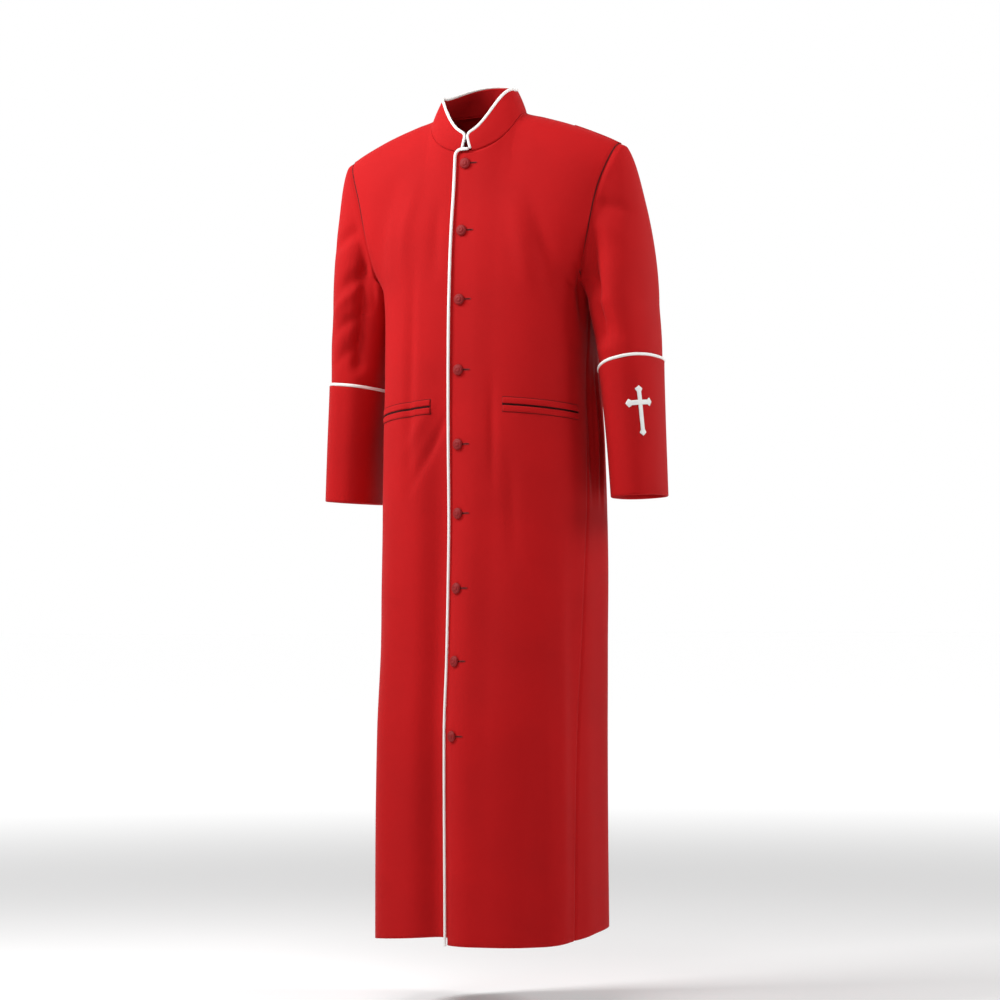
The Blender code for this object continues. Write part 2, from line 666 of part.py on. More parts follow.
def neck_edge(front, back, mirror):
    """The neck edge of one half, on the panels' outer faces, at the swings of neck_knots."""
    half = (back.shape[1] - 1) // 2
    neck_end = 4 + COLUMNS_FRONT_NECK
    behind = back[-1, half::mirror][:COLUMNS_BACK_NECK + 1]
    return np.concatenate([behind, front[-1, 2:neck_end][::-1]])


def neck_seam(swing, edge, mirror):
    """Points of the neck seam, on the straight runs between the panels' own edge points.
    Swing is 0 at the centre back and 180 at the centre front."""
    knots = neck_knots(mirror)
    return np.stack([np.interp(swing, knots, edge[:, k]) for k in range(3)], axis=-1)


def collar_surface(swing, rise, edge, mirror):
    """Outer face of the collar: from the neck seam straight up to its top edge, slightly
    bulged. Swing is 0 at the centre back and 180 at the centre front, rise 0 to 1."""
    c = np.cos(np.radians(swing))
    s = np.sin(np.radians(swing))
    foot = neck_seam(swing, edge, mirror)
    out = unit(np.stack([mirror * s, c, np.zeros_like(s)], axis=-1))
    lift = lap_lift(np.abs(foot[..., 0])) if mirror > 0 else np.zeros_like(s)
    lift = np.where(c < 0, lift, 0.0)
    foot = foot + SEAM_GAP * out
    foot[..., 2] += SEAM_GAP
    beside = COLLAR_TOP_SIDE_HEIGHT[mirror]
    back = beside + (COLLAR_TOP_BACK_HEIGHT - beside) * np.maximum(c, 0) ** 1.5
    front = (COLLAR_TOP_FRONT_HEIGHT - beside) * np.maximum(-c, 0) ** COLLAR_FRONT_DROP
    middle = (COLLAR_TOP_BACK + COLLAR_TOP_FRONT) / 2
    reach = (COLLAR_TOP_BACK - COLLAR_TOP_FRONT) / 2
    top = np.stack([mirror * COLLAR_TOP_HALF_WIDTH * s, middle + reach * c, back + front], axis=-1)
    top = top + lift[..., None] * out
    bulge = 4 * COLLAR_BULGE * rise * (1 - rise)
    return foot + (top - foot) * rise[..., None] + bulge[..., None] * out


def collar_half(edge, mirror, rows):
    """Outer points of the collar from the centre back to its rounded front end."""
    end_seam = 180 - math.degrees(math.asin(COLLAR_END_AT_SEAM / NECK_HALF_WIDTH))
    end_top = 180 - math.degrees(math.asin(COLLAR_END_AT_TOP / COLLAR_TOP_HALF_WIDTH))
    corner = math.degrees(COLLAR_CORNER / NECK_HALF_WIDTH)
    knots = neck_knots(mirror)
    knots = np.append(knots[knots < end_seam - corner - 1.0], end_seam - corner)
    body = np.interp(np.arange(0, len(knots) - 1 + 0.25, 0.5), np.arange(len(knots)), knots)
    round_turn = np.radians(np.array([30.0, 60.0, 90.0]))
    last = end_seam - corner + corner * np.sin(round_turn)
    swing = np.concatenate([body, last])
    front_height = COLLAR_TOP_FRONT_HEIGHT - NECK_FRONT_HEIGHT
    top_rise = np.concatenate([np.ones(len(body)),
                               1 - COLLAR_CORNER / front_height * (1 - np.cos(round_turn))])
    rise = np.linspace(0.0, 1.0, rows + 1)[:, None] * top_rise[None, :]
    lean = (end_top - end_seam) * ease((swing - (end_seam - 3 * corner)) / (3 * corner))
    swing = swing[None, :] + lean[None, :] * rise
    return collar_surface(swing, rise, edge, mirror)


def build_collar(left, right, back):
    """The collar band, and the piping round its ends and along its top edge."""
    right_half = collar_half(neck_edge(right, back, -1), -1, COLLAR_ROWS)
    left_half = collar_half(neck_edge(left, back, 1), 1, COLLAR_ROWS)
    outer = np.concatenate([right_half[:, :0:-1], left_half], axis=1)
    normal = grid_normals(outer)
    normal = level(normal * np.sign(normal[0, normal.shape[1] // 2, 1]))
    inner = outer - BAND_WALL * normal
    add_object("collar", *wall(outer, inner), RED_CLOTH)

    middle = (outer + inner) / 2
    edge = np.concatenate([middle[:, 0], middle[-1, 1:-1], middle[::-1, -1]])
    edge_normal = np.concatenate([normal[:, 0], normal[-1, 1:-1], normal[::-1, -1]])
    along = unit(np.gradient(edge, axis=0))
    outward = unit(np.cross(edge_normal, along))
    inside = middle[1, outer.shape[1] // 2]
    if np.sum((edge[len(edge) // 2] - inside) * outward[len(edge) // 2]) < 0:
        outward = -outward
    path = edge + (PIPING_RADIUS + SEAM_GAP) * outward
    path[0] = path[1] + (path[0] - path[1]) * PIPING_FOOT
    path[-1] = path[-2] + (path[-1] - path[-2]) * PIPING_FOOT
    add_object("piping_collar", *cord(path, edge_normal, PIPING_RADIUS, PIPING_SIDES), WHITE_PIPING)


def build_front_piping(left, normals):
    """White piping up the left front's free edge, round its corner and along its top."""
    up = left[:, 0]
    up_normal = normals["left"][:, 0]
    edge = np.concatenate([up, left[-1, 1:3], left[-1, 3:4]])
    edge_normal = np.concatenate([up_normal, normals["left"][-1, 1:4]])
    along = unit(np.gradient(edge, axis=0))
    outward = unit(np.cross(edge_normal, along))
    if outward[2, 0] > 0:
        outward = -outward
    proud = SEAM_GAP + PIPING_RADIUS
    path = edge + proud * outward + (proud + PIPING_CLEARANCE) * edge_normal
    path[-1, 0] = PIPING_TOP_END
    add_object("piping_front", *cord(path, edge_normal, PIPING_RADIUS, PIPING_SIDES), WHITE_PIPING)


def armhole_ring(front, back, front_normals, back_normals, mirror):
    """Armhole points with their outward normals and the way into the sleeve, from the tip
    over the front to the underarm and up the back: two steps to each row of the panels."""
    def halved(line):
        ring = np.empty((2 * len(line), 3))
        ring[0::2] = line
        ring[1::2] = (line + np.roll(line, -1, axis=0)) / 2
        return ring

    point = halved(np.concatenate([front[::-1], back[1:-1]]))
    face = unit(halved(np.concatenate([front_normals[::-1], back_normals[1:-1]])))
    ahead = np.roll(point, -1, axis=0) - np.roll(point, 1, axis=0)
    into = unit(np.cross(face, ahead)) * mirror
    return point, face, into


def sleeve_ring(table, height, mirror, sides, grow=0.0, dip=0.0):
    """A ring of the sleeve tube at this height, square to the tube's centre line. Dip lowers
    it on the side of the body."""
    def centre_at(z):
        return np.stack([mirror * from_table(table, "height", "side", z),
                         from_table(table, "height", "depth", z), z], axis=-1)

    height = np.atleast_1d(np.asarray(height, float))
    centre = centre_at(height)
    along = unit(centre_at(height - TUBE_STEP) - centre_at(height + TUBE_STEP))
    forward = np.array([0.0, -1.0, 0.0]) - along * (-along[:, 1:2])
    forward = unit(forward)
    outward = mirror * np.cross(along, forward)
    outward = outward * np.sign(outward[:, :1] * mirror)
    thick = from_table(table, "height", "half_thickness", height) + grow
    wide = from_table(table, "height", "half_width", height) + grow
    angle = np.linspace(0, 2 * np.pi, sides, endpoint=False)
    power = 2 / SLEEVE_SQUARENESS
    c = np.sign(np.cos(angle)) * np.abs(np.cos(angle)) ** power
    s = np.sign(np.sin(angle)) * np.abs(np.sin(angle)) ** power
    ring = (centre[:, None] + (thick[:, None] * c)[..., None] * outward[:, None]
            + (wide[:, None] * s)[..., None] * forward[:, None])
    inner_side = ((1 - np.cos(angle)) / 2) ** CUFF_DIP_PLACE
    drop = np.broadcast_to(dip, height.shape)[:, None] * inner_side[None, :]
    return ring + drop[..., None] * along[:, None]


def sleeve_grid(table, mirror, armhole_parts, head_rows, tube_heights):
    """Outer points of a sleeve. From the armhole to the underarm ring each line is a cubic
    curve that leaves along the body's surface and arrives along the tube; below that the
    tube's own rings follow."""
    point, face, into = armhole_parts
    sides = len(point)
    start = point + SEAM_GAP * into
    end = sleeve_ring(table, UNDERARM, mirror, sides)[0]
    angle = np.linspace(0, 2 * np.pi, sides, endpoint=False)
    top = ((1 + np.cos(angle)) / 2)[:, None]
    leave = HEAD_BOTTOM.start + (HEAD_TOP.start - HEAD_BOTTOM.start) * top
    arrive = HEAD_BOTTOM.end + (HEAD_TOP.end - HEAD_BOTTOM.end) * top
    up = unit(sleeve_ring(table, UNDERARM + 2 * TUBE_STEP, mirror, sides)[0] - end)
    along_body = np.clip(3 * top, 0.0, 1.0)
    handle_a = start + leave * unit(along_body * into + (1 - along_body) * face)
    handle_b = end + arrive * up
    t = (np.linspace(0, 1, head_rows + 1) ** HEAD_ROW_GATHER)[:, None, None]
    head = ((1 - t) ** 3 * start + 3 * (1 - t) ** 2 * t * handle_a
            + 3 * (1 - t) * t * t * handle_b + t ** 3 * end)
    tube = sleeve_ring(table, tube_heights, mirror, sides)
    return np.concatenate([head, tube])


def outward_normals(points, middle):
    """Normals of a closed tube grid, turned away from its middle line."""
    normal = grid_normals(points, closed=True)
    away = points - middle
    row = len(points) - 1
    if np.sum(normal[row] * away[row]) < 0:
        normal = -normal
    return normal


def build_sleeve(side_name, table, mirror, armhole_parts):
    """A sleeve, the deep cuff round its lower end and the piping on the cuff's top edge."""
    cuff_top = CUFF_TOP[side_name]
    dip = CUFF_TOP_DIP[side_name]
    upper = np.linspace(UNDERARM, cuff_top, SLEEVE_TUBE_ROWS + 1)
    lower = np.linspace(cuff_top, CUFF_HEM + SLEEVE_HEM_INSIDE_CUFF, CUFF_ROWS + 1)
    outer = sleeve_grid(table, mirror, armhole_parts, SLEEVE_HEAD_ROWS,
                        np.concatenate([upper[1:], lower[1:]]))
    sides = outer.shape[1]
    normal = outward_normals(outer, outer.mean(axis=1, keepdims=True))
    normal[0] = armhole_parts[1]
    add_object("sleeve_" + side_name, *wall(outer, outer - WALL * normal, closed=True), RED_CLOTH)

    heights = np.append(lower[:-1], CUFF_HEM)
    dips = np.linspace(dip, 0.0, CUFF_ROWS + 1)
    grow = SEAM_GAP + BAND_WALL
    cuff = sleeve_ring(table, heights, mirror, sides, grow, dips)
    normal = outward_normals(cuff, cuff.mean(axis=1, keepdims=True))
    add_object("cuff_" + side_name, *wall(cuff, cuff - BAND_WALL * normal, closed=True), RED_CLOTH)

    proud = SEAM_GAP + PIPING_RADIUS
    ring = sleeve_ring(table, cuff_top + proud, mirror, sides, proud, dip)
    normal = unit(ring[0] - ring[0].mean(axis=0))
    add_object("piping_cuff_" + side_name,
               *cord(ring[0], normal, PIPING_RADIUS, PIPING_SIDES, closed=True), WHITE_PIPING)


def front_place(turn, height, mirror, outwards):
    """A point of the front and its normal, moved out from the cloth's outer face."""
    turn = np.asarray(turn, float)
    height = np.asarray(height, float)
    point = body_surface(turn, height, mirror)
    across = body_surface(turn + 1.0, height, mirror) - body_surface(turn - 1.0, height, mirror)
    upwards = (body_surface(turn, height + 0.002, mirror)
               - body_surface(turn, height - 0.002, mirror))
    normal = unit(np.cross(across, upwards)) * mirror
    base = lap_lift(point[..., 0]) if mirror > 0 else np.zeros_like(turn)
    return point + (base + outwards)[..., None] * normal, normal


def build_button(number, height, line, line_normals):
    """A cloth-covered button: a domed disc on the lap's centre line."""
    seat = np.array([np.interp(height, line[:, 2], line[:, k]) for k in range(3)])
    normal = unit(np.array([np.interp(height, line[:, 2], line_normals[:, k]) for k in range(3)]))
    seat = seat + REST_GAP * normal
    side = unit(np.cross(np.array([0.0, 0.0, 1.0]), normal))
    up = np.cross(normal, side)
    turn = np.linspace(0, 2 * np.pi, BUTTON_SIDES, endpoint=False)
    ring = np.cos(turn)[:, None] * side + np.sin(turn)[:, None] * up
    points = np.concatenate([seat + BUTTON_RADIUS * row.radius * ring + row.height * normal
                             for row in BUTTON_PROFILE])
    rows = len(BUTTON_PROFILE)
    faces = [tuple(reversed(range(BUTTON_SIDES))),
             tuple(range((rows - 1) * BUTTON_SIDES, rows * BUTTON_SIDES))]
    for i in range(rows - 1):
        for k in range(BUTTON_SIDES):
            n = (k + 1) % BUTTON_SIDES
            faces.append((i * BUTTON_SIDES + k, i * BUTTON_SIDES + n,
                          (i + 1) * BUTTON_SIDES + n, (i + 1) * BUTTON_SIDES + k))
    add_object(f"button_{number}", points, faces, RED_CLOTH)


def build_welts(side_name, mirror, ends):
    """Two thin welts, above and below the pocket's slit, lying on the front."""
    along = np.linspace(0, 1, 9)
    inner_end, outer_end = ends
    slit_turn = inner_end.turn + (outer_end.turn - inner_end.turn) * along
    slit_z = inner_end.height + (outer_end.height - inner_end.height) * along
    for name, way in (("upper", 1), ("lower", -1)):
        near = slit_z + way * WELT_GAP / 2
        far = near + way * WELT_WIDTH
        height = np.stack([near, (near + far) / 2, far])
        turn = np.broadcast_to(slit_turn, height.shape)
        inner, normal = front_place(turn, height, mirror, np.full(turn.shape, REST_GAP))
        outer = inner + WELT_THICKNESS * normal
        add_object(f"welt_{side_name}_{name}", *wall(outer, inner), RED_CLOTH)


def cross_outline():
    """Half widths along the cross: a straight arm that opens into a pointed tip."""
    arm = CROSS_ARM_WIDTH / 2
    tip = CROSS_TIP_WIDTH / 2
    up = CROSS_HEIGHT / 2 - CROSS_BAR_ABOVE_MIDDLE
    down = -CROSS_HEIGHT / 2 - CROSS_BAR_ABOVE_MIDDLE
    side = CROSS_SPAN / 2
    half = CROSS_TIP_LENGTH / 2
    corners = [(arm, arm), (side - CROSS_TIP_LENGTH, arm), (side - half, tip), (side, 0.0),
               (side - half, -tip), (side - CROSS_TIP_LENGTH, -arm), (arm, -arm),
               (arm, down + CROSS_TIP_LENGTH), (tip, down + half), (0.0, down)]
    upper = [(0.0, up), (tip, up - half), (arm, up - CROSS_TIP_LENGTH)]
    right = upper + corners
    left = [(-x, y) for x, y in reversed(right[1:-1])]
    return np.array(right + left)


def cuff_place(table, mirror, side, height, outwards):
    """A point of the cuff's outer face, this far round from the cross's middle line."""
    sides = 720
    ring = sleeve_ring(table, CROSS_CROSSING + height, mirror, sides,
                       SEAM_GAP + BAND_WALL + outwards)
    out = []
    for row, shift in zip(ring, np.atleast_1d(side)):
        start = int(round(CROSS_AROUND / 360 * sides))
        walk = np.concatenate([[0.0], np.cumsum(np.linalg.norm(
            np.diff(np.roll(row, -start + sides // 4, axis=0), axis=0), axis=1))])
        rolled = np.roll(row, -start + sides // 4, axis=0)
        want = walk[sides // 4] - shift
        out.append([np.interp(want, walk, rolled[:, k]) for k in range(3)])
    return np.array(out)


def build_cross(table, mirror):
    """The pointed cross on the cuff: its outline laid on the cuff's face, one thin layer."""
    outline = cross_outline()
    tilt = math.radians(CROSS_TILT)
    turned = np.stack([outline[:, 0] * math.cos(tilt) - outline[:, 1] * math.sin(tilt),
                       outline[:, 0] * math.sin(tilt) + outline[:, 1] * math.cos(tilt)], axis=-1)
    mesh = bmesh.new()
    flat = [mesh.verts.new((x, y, 0.0)) for x, y in turned]
    mesh.faces.new(flat)
    bmesh.ops.triangulate(mesh, faces=mesh.faces)
    for cut in (-0.018, -0.012, -0.006, 0.0, 0.006, 0.012, 0.018):
        bmesh.ops.bisect_plane(mesh, geom=mesh.verts[:] + mesh.edges[:] + mesh.faces[:],
                               plane_co=(cut, 0, 0), plane_no=(1, 0, 0))
    mesh.verts.ensure_lookup_table()
    mesh.verts.index_update()
    place = np.array([tuple(v.co) for v in mesh.verts])
    count = len(place)
    under = cuff_place(table, mirror, place[:, 0], place[:, 1], REST_GAP)
    over = cuff_place(table, mirror, place[:, 0], place[:, 1], REST_GAP + CROSS_THICKNESS)
    faces = [tuple(v.index for v in f.verts) for f in mesh.faces]
    rims = [(e.verts[0].index, e.verts[1].index) for e in mesh.edges if e.is_boundary]
    mesh.free()
    solid = [face for face in faces]
    solid += [tuple(i + count for i in reversed(face)) for face in faces]
    solid += [(a, b, b + count, a + count) for a, b in rims]
    add_object("cross_left", np.concatenate([over, under]), solid, WHITE_EMBROIDERY)


def main():
    """Build the whole robe."""
    for item in list(bpy.data.objects):
        bpy.data.objects.remove(item, do_unlink=True)
    front_sizes = (ROWS_SKIRT, ROWS_YOKE, COLUMNS_FRONT, COLUMNS_FRONT_NECK)
    back_sizes = (ROWS_SKIRT, ROWS_YOKE, COLUMNS_BACK_NECK, COLUMNS_BACK_SHOULDER)
    left, right, back, normals, neck_end, half = panels(front_sizes, back_sizes)
    left = left + lap_lift(left[..., 0])[..., None] * normals["left"]
    build_body(left, right, back, normals, ROWS_SKIRT + 1, neck_end, half)
    build_collar(left, right, back)
    build_front_piping(left, normals)
    arm = slice(ROWS_SKIRT, None)
    build_sleeve("left", SLEEVE_LEFT, 1,
                 armhole_ring(left[arm, -1], back[arm, -1], normals["left"][arm, -1],
                              normals["back"][arm, -1], 1))
    build_sleeve("right", SLEEVE_RIGHT, -1,
                 armhole_ring(right[arm, -1], back[arm, 0], normals["right"][arm, -1],
                              normals["back"][arm, 0], -1))
    for number, height in enumerate(BUTTON_HEIGHTS, start=1):
        build_button(number, height, left[:, 2], normals["left"][:, 2])
    build_welts("left", 1, POCKET_LEFT)
    build_welts("right", -1, POCKET_RIGHT)
    build_cross(SLEEVE_LEFT, 1)


main()
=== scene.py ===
"""Dressed model of an ankle-length red clergy robe, in its worn form with nobody in it.

Each sewn panel is a fine shell of cloth on the form of its CAD node, with the soft
creases, rolled seams and hems that the solid leaves out. Piping, covered buttons,
buttonholes, pocket welts and the embroidered cross are surfaces laid on those shells.
"""
import math
from collections import namedtuple

import bpy
import numpy as np
from mathutils import Matrix, Vector


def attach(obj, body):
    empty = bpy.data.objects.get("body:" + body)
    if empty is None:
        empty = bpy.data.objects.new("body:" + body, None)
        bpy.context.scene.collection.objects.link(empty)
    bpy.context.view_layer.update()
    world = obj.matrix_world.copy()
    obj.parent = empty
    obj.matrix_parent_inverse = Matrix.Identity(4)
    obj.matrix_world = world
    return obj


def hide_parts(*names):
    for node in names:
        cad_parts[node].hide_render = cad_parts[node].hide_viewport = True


bl_info = {
    "name": "Clergy Robe",
    "version": (1, 0, 0),
    "blender": (4, 5, 0),
    "location": "View3D > Sidebar > Robe",
    "description": "Builds the dressed clergy robe on its CAD frame",
    "category": "Object",
}

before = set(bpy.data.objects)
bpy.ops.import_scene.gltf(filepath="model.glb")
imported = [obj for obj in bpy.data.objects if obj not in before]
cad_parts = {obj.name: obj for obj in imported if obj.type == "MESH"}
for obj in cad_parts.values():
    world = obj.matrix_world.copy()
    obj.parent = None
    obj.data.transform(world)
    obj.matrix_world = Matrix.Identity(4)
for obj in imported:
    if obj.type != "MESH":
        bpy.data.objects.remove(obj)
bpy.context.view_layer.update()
BODY = "root"


# Cloth and seams
BAND_WALL = 0.003           # collar and cuffs, two layers with interlining
SEAM_GAP = 0.0003           # between pieces that are sewn together
PIPING_RADIUS = 0.0022

# Body sections from the collar down to the hem. Depths are at the centre line.
# Above the armpit the half width reaches out under the sleeve head.
Section = namedtuple("Section", "height half_width front back squareness")
BODY_SECTIONS = (
    Section(0.060, 0.310, 0.054, 0.055, 2.4),
    Section(0.000, 0.300, 0.062, 0.075, 2.4),
    Section(-0.062, 0.287, 0.064, 0.098, 2.4),
    Section(-0.130, 0.259, 0.071, 0.124, 2.4),
    Section(-0.200, 0.231, 0.082, 0.148, 2.5),
    Section(-0.260, 0.205, 0.089, 0.163, 2.6),
    Section(-0.300, 0.184, 0.092, 0.171, 2.8),
    Section(-0.360, 0.1805, 0.096, 0.178, 2.8),
    Section(-0.440, 0.181, 0.100, 0.183, 2.8),
    Section(-0.560, 0.188, 0.1045, 0.187, 2.7),
    Section(-0.680, 0.191, 0.1075, 0.188, 2.6),
    Section(-0.800, 0.191, 0.1165, 0.193, 2.5),
    Section(-0.920, 0.1905, 0.128, 0.199, 2.4),
    Section(-1.050, 0.1905, 0.143, 0.204, 2.4),
    Section(-1.200, 0.191, 0.147, 0.204, 2.4),
    Section(-1.410, 0.192, 0.148, 0.204, 2.4),
)

# Neck seam and shoulder line
NECK_HALF_WIDTH = 0.081
NECK_FRONT_HEIGHT = -0.069
NECK_BACK_HEIGHT = 0.012
NECK_BACK_DROP = 1.5
Shoulder = namedtuple("Shoulder", "side height")
SHOULDER_LINE = (
    Shoulder(0.000, 0.062),
    Shoulder(0.045, 0.037),
    Shoulder(0.070, 0.010),
    Shoulder(0.081, 0.000),
    Shoulder(0.115, -0.010),
    Shoulder(0.160, -0.024),
    Shoulder(0.200, -0.0395),
    Shoulder(0.240, -0.058),
    Shoulder(0.310, -0.106),
)
SHOULDER_ROUND_BELOW = -0.220   # height where the sections start to round in to the shoulder

# Armhole
ARMHOLE_TOP = -0.058
ARMHOLE_BOTTOM = -0.300
ARMHOLE_REACH = 0.61            # share of the section's half depth that the armhole takes in
ARMHOLE_FLATNESS = 4.0
ARMHOLE_TIP_POWER = 6           # how late along its curve the armhole meets the shoulder line

# Side seams lie forward of the widest line, more so towards the hem
SeamPlace = namedtuple("SeamPlace", "height forward_degrees")
SIDE_SEAM = (
    SeamPlace(0.000, 0.0),
    SeamPlace(-0.300, 0.0),
    SeamPlace(-0.600, 8.0),
    SeamPlace(-0.900, 14.0),
    SeamPlace(-1.410, 20.0),
)

# Hem height round the body, in degrees from the centre front towards the wearer's left
HemPlace = namedtuple("HemPlace", "around height")
HEM_LEFT = (
    HemPlace(-20, -1.397),
    HemPlace(0, -1.397),
    HemPlace(40, -1.397),
    HemPlace(75, -1.390),
    HemPlace(105, -1.379),
    HemPlace(180, -1.389),
)
HEM_RIGHT = (
    HemPlace(-20, -1.385),
    HemPlace(0, -1.385),
    HemPlace(40, -1.392),
    HemPlace(75, -1.399),
    HemPlace(105, -1.401),
    HemPlace(180, -1.389),
)

# Long soft folds of the skirt. Around is in degrees from the centre front towards the
# wearer's left, width in degrees, heights and depth in metres, drift in degrees downwards.
Fold = namedtuple("Fold", "around width top fade depth drift")
FOLDS = (
    Fold(-33, 17, -0.640, 0.42, -0.0110, 4),
    Fold(-66, 9, -0.420, 0.20, -0.0040, -4),
    Fold(24, 12, -0.560, 0.30, -0.0040, -6),
    Fold(46, 9, -0.700, 0.30, 0.0040, 3),
    Fold(66, 8, -0.560, 0.30, -0.0040, 2),
    Fold(98, 12, -0.500, 0.30, 0.0060, 3),
    Fold(125, 13, -0.560, 0.35, -0.0070, -3),
    Fold(152, 12, -0.480, 0.40, 0.0080, 2),
    Fold(-98, 12, -0.520, 0.30, 0.0060, -3),
    Fold(-128, 14, -0.560, 0.35, -0.0080, 2),
    Fold(-160, 12, -0.500, 0.40, 0.0070, -2),
    Fold(179, 8, -0.600, 0.40, -0.0050, 0),
)

# Front lap
LAP_EDGE = 0.015                # the left front reaches this far past the centre
UNDERLAP_EDGE = 0.022           # and the right front this far under it
LAP_LIFT = 0.0024               # the lap lies on the right front
LAP_FLAT = 0.024
LAP_FADE = 0.065
LAP_CORNER = 0.009

# Collar
COLLAR_TOP_HALF_WIDTH = 0.066
COLLAR_TOP_FRONT = -0.0635
COLLAR_TOP_BACK = 0.053
COLLAR_TOP_BACK_HEIGHT = 0.0540
COLLAR_TOP_SIDE_HEIGHT = {1: 0.0360, -1: 0.0290}    # wearer's left and right
COLLAR_TOP_FRONT_HEIGHT = -0.0405
COLLAR_BACK_RISE = 1.5          # powers of the top edge's rise behind and drop in front
COLLAR_FRONT_DROP = 2.7
COLLAR_END_AT_SEAM = 0.0120
COLLAR_END_AT_TOP = 0.0052
COLLAR_CORNER = 0.006
COLLAR_CORNER_STEPS = 9
COLLAR_BULGE = 0.0012

# Sleeves: centre line and half sizes of the tube, from the underarm down
SleeveRing = namedtuple("SleeveRing", "height side depth half_thickness half_width")
SLEEVE_LEFT = (
    SleeveRing(-0.330, 0.2385, 0.0490, 0.0525, 0.084),
    SleeveRing(-0.390, 0.2475, 0.0480, 0.0490, 0.077),
    SleeveRing(-0.456, 0.2545, 0.0455, 0.0445, 0.070),
    SleeveRing(-0.560, 0.2620, 0.0430, 0.0410, 0.065),
    SleeveRing(-0.670, 0.2680, 0.0420, 0.0390, 0.062),
)
SLEEVE_RIGHT = (
    SleeveRing(-0.330, 0.2385, 0.0490, 0.0525, 0.084),
    SleeveRing(-0.390, 0.2475, 0.0480, 0.0485, 0.077),
    SleeveRing(-0.456, 0.2530, 0.0455, 0.0440, 0.070),
    SleeveRing(-0.560, 0.2610, 0.0430, 0.0410, 0.065),
    SleeveRing(-0.670, 0.2680, 0.0420, 0.0390, 0.062),
)
SLEEVE_SQUARENESS = 2.4
UNDERARM = -0.330
Handles = namedtuple("Handles", "start end")
HEAD_TOP = Handles(0.028, 0.120)       # how far the head runs on along each end of its curve
HEAD_BOTTOM = Handles(0.008, 0.014)
TUBE_STEP = 0.01                # over which the tube's direction is taken
NORMAL_TURN = 1.0               # degrees and metres over which the front's normal is taken
NORMAL_RISE = 0.002
CUFF_NORMAL_TURN = 0.01         # and radians and metres for the cuff's
CUFF_NORMAL_RISE = 0.001
CUFF_HEM = -0.653
CUFF_TOP = {"left": -0.4275, "right": -0.4560}
CUFF_TOP_DIP = {"left": 0.018, "right": 0.003}      # the top edge dips towards the body
CUFF_DIP_PLACE = 2.5
SLEEVE_HEM_INSIDE_CUFF = 0.006

# Buttons down the centre front
BUTTON_HEIGHTS = (-0.090, -0.205, -0.322, -0.4405, -0.565, -0.6805, -0.8055, -0.927, -1.051)
BUTTON_RADIUS = 0.0093

# Pockets: inner and outer end of the slit, in degrees of turn round the body, and height
PocketEnd = namedtuple("PocketEnd", "turn height")
POCKET_LEFT = (PocketEnd(18.0, -0.5000), PocketEnd(74.0, -0.5130))
POCKET_RIGHT = (PocketEnd(11.0, -0.5000), PocketEnd(59.0, -0.5110))
WELT_WIDTH = 0.0110
WELT_GAP = 0.0014
WELT_THICKNESS = 0.0012
REST_GAP = 0.0004               # between a panel and what lies on it

# Cross on the wearer's left cuff
CROSS_HEIGHT = 0.081
CROSS_SPAN = 0.049
CROSS_ARM_WIDTH = 0.0070
CROSS_TIP_WIDTH = 0.0132
CROSS_TIP_LENGTH = 0.0095
CROSS_THICKNESS = 0.0012
CROSS_CROSSING = -0.5030
CROSS_BAR_ABOVE_MIDDLE = 0.0135
CROSS_AROUND = 50.0             # degrees from the outer side of the cuff towards the front
CROSS_TILT = 3.0

# Fine grids of the dressed pieces
ROWS_SKIRT = 150
ROWS_YOKE = 48
LAP_STEPS = 6                   # columns on each side of the centre within the lap
LAP_COLUMNS = 2 * LAP_STEPS + 1
COLUMNS_FRONT = 92              # beyond the lap's own columns
COLUMNS_FRONT_NECK = 28
COLUMNS_BACK_NECK = 28
COLUMNS_BACK_SHOULDER = 64
NECK_GATHER = 1.25              # the neck's columns stand closer at the shoulder
COLUMN_GATHER = 1.2             # the panels' columns stand closer at the side seam
HEAD_GATHER = 1.3               # the sleeve's rows stand closer at the armhole
ROW_SAMPLES = 240               # along a row, for steps of equal length
RING_EASING = 30                # passes that even out the directions round an armhole
TIP_EASED = 0.030               # and its points, this near to the shoulder's tip
SLEEVE_HEAD_ROWS = 76
SLEEVE_TUBE_ROWS = 26
CUFF_ROWS = 56
COLLAR_ROWS = 24

# Cloth as it is worn: one layer is thinner than the solid that stands for it
CLOTH = 0.0012
SEAM_DIP = 0.0020               # how deep a sewn edge rolls in
SEAM_ROLL = 0.0055              # and over what width

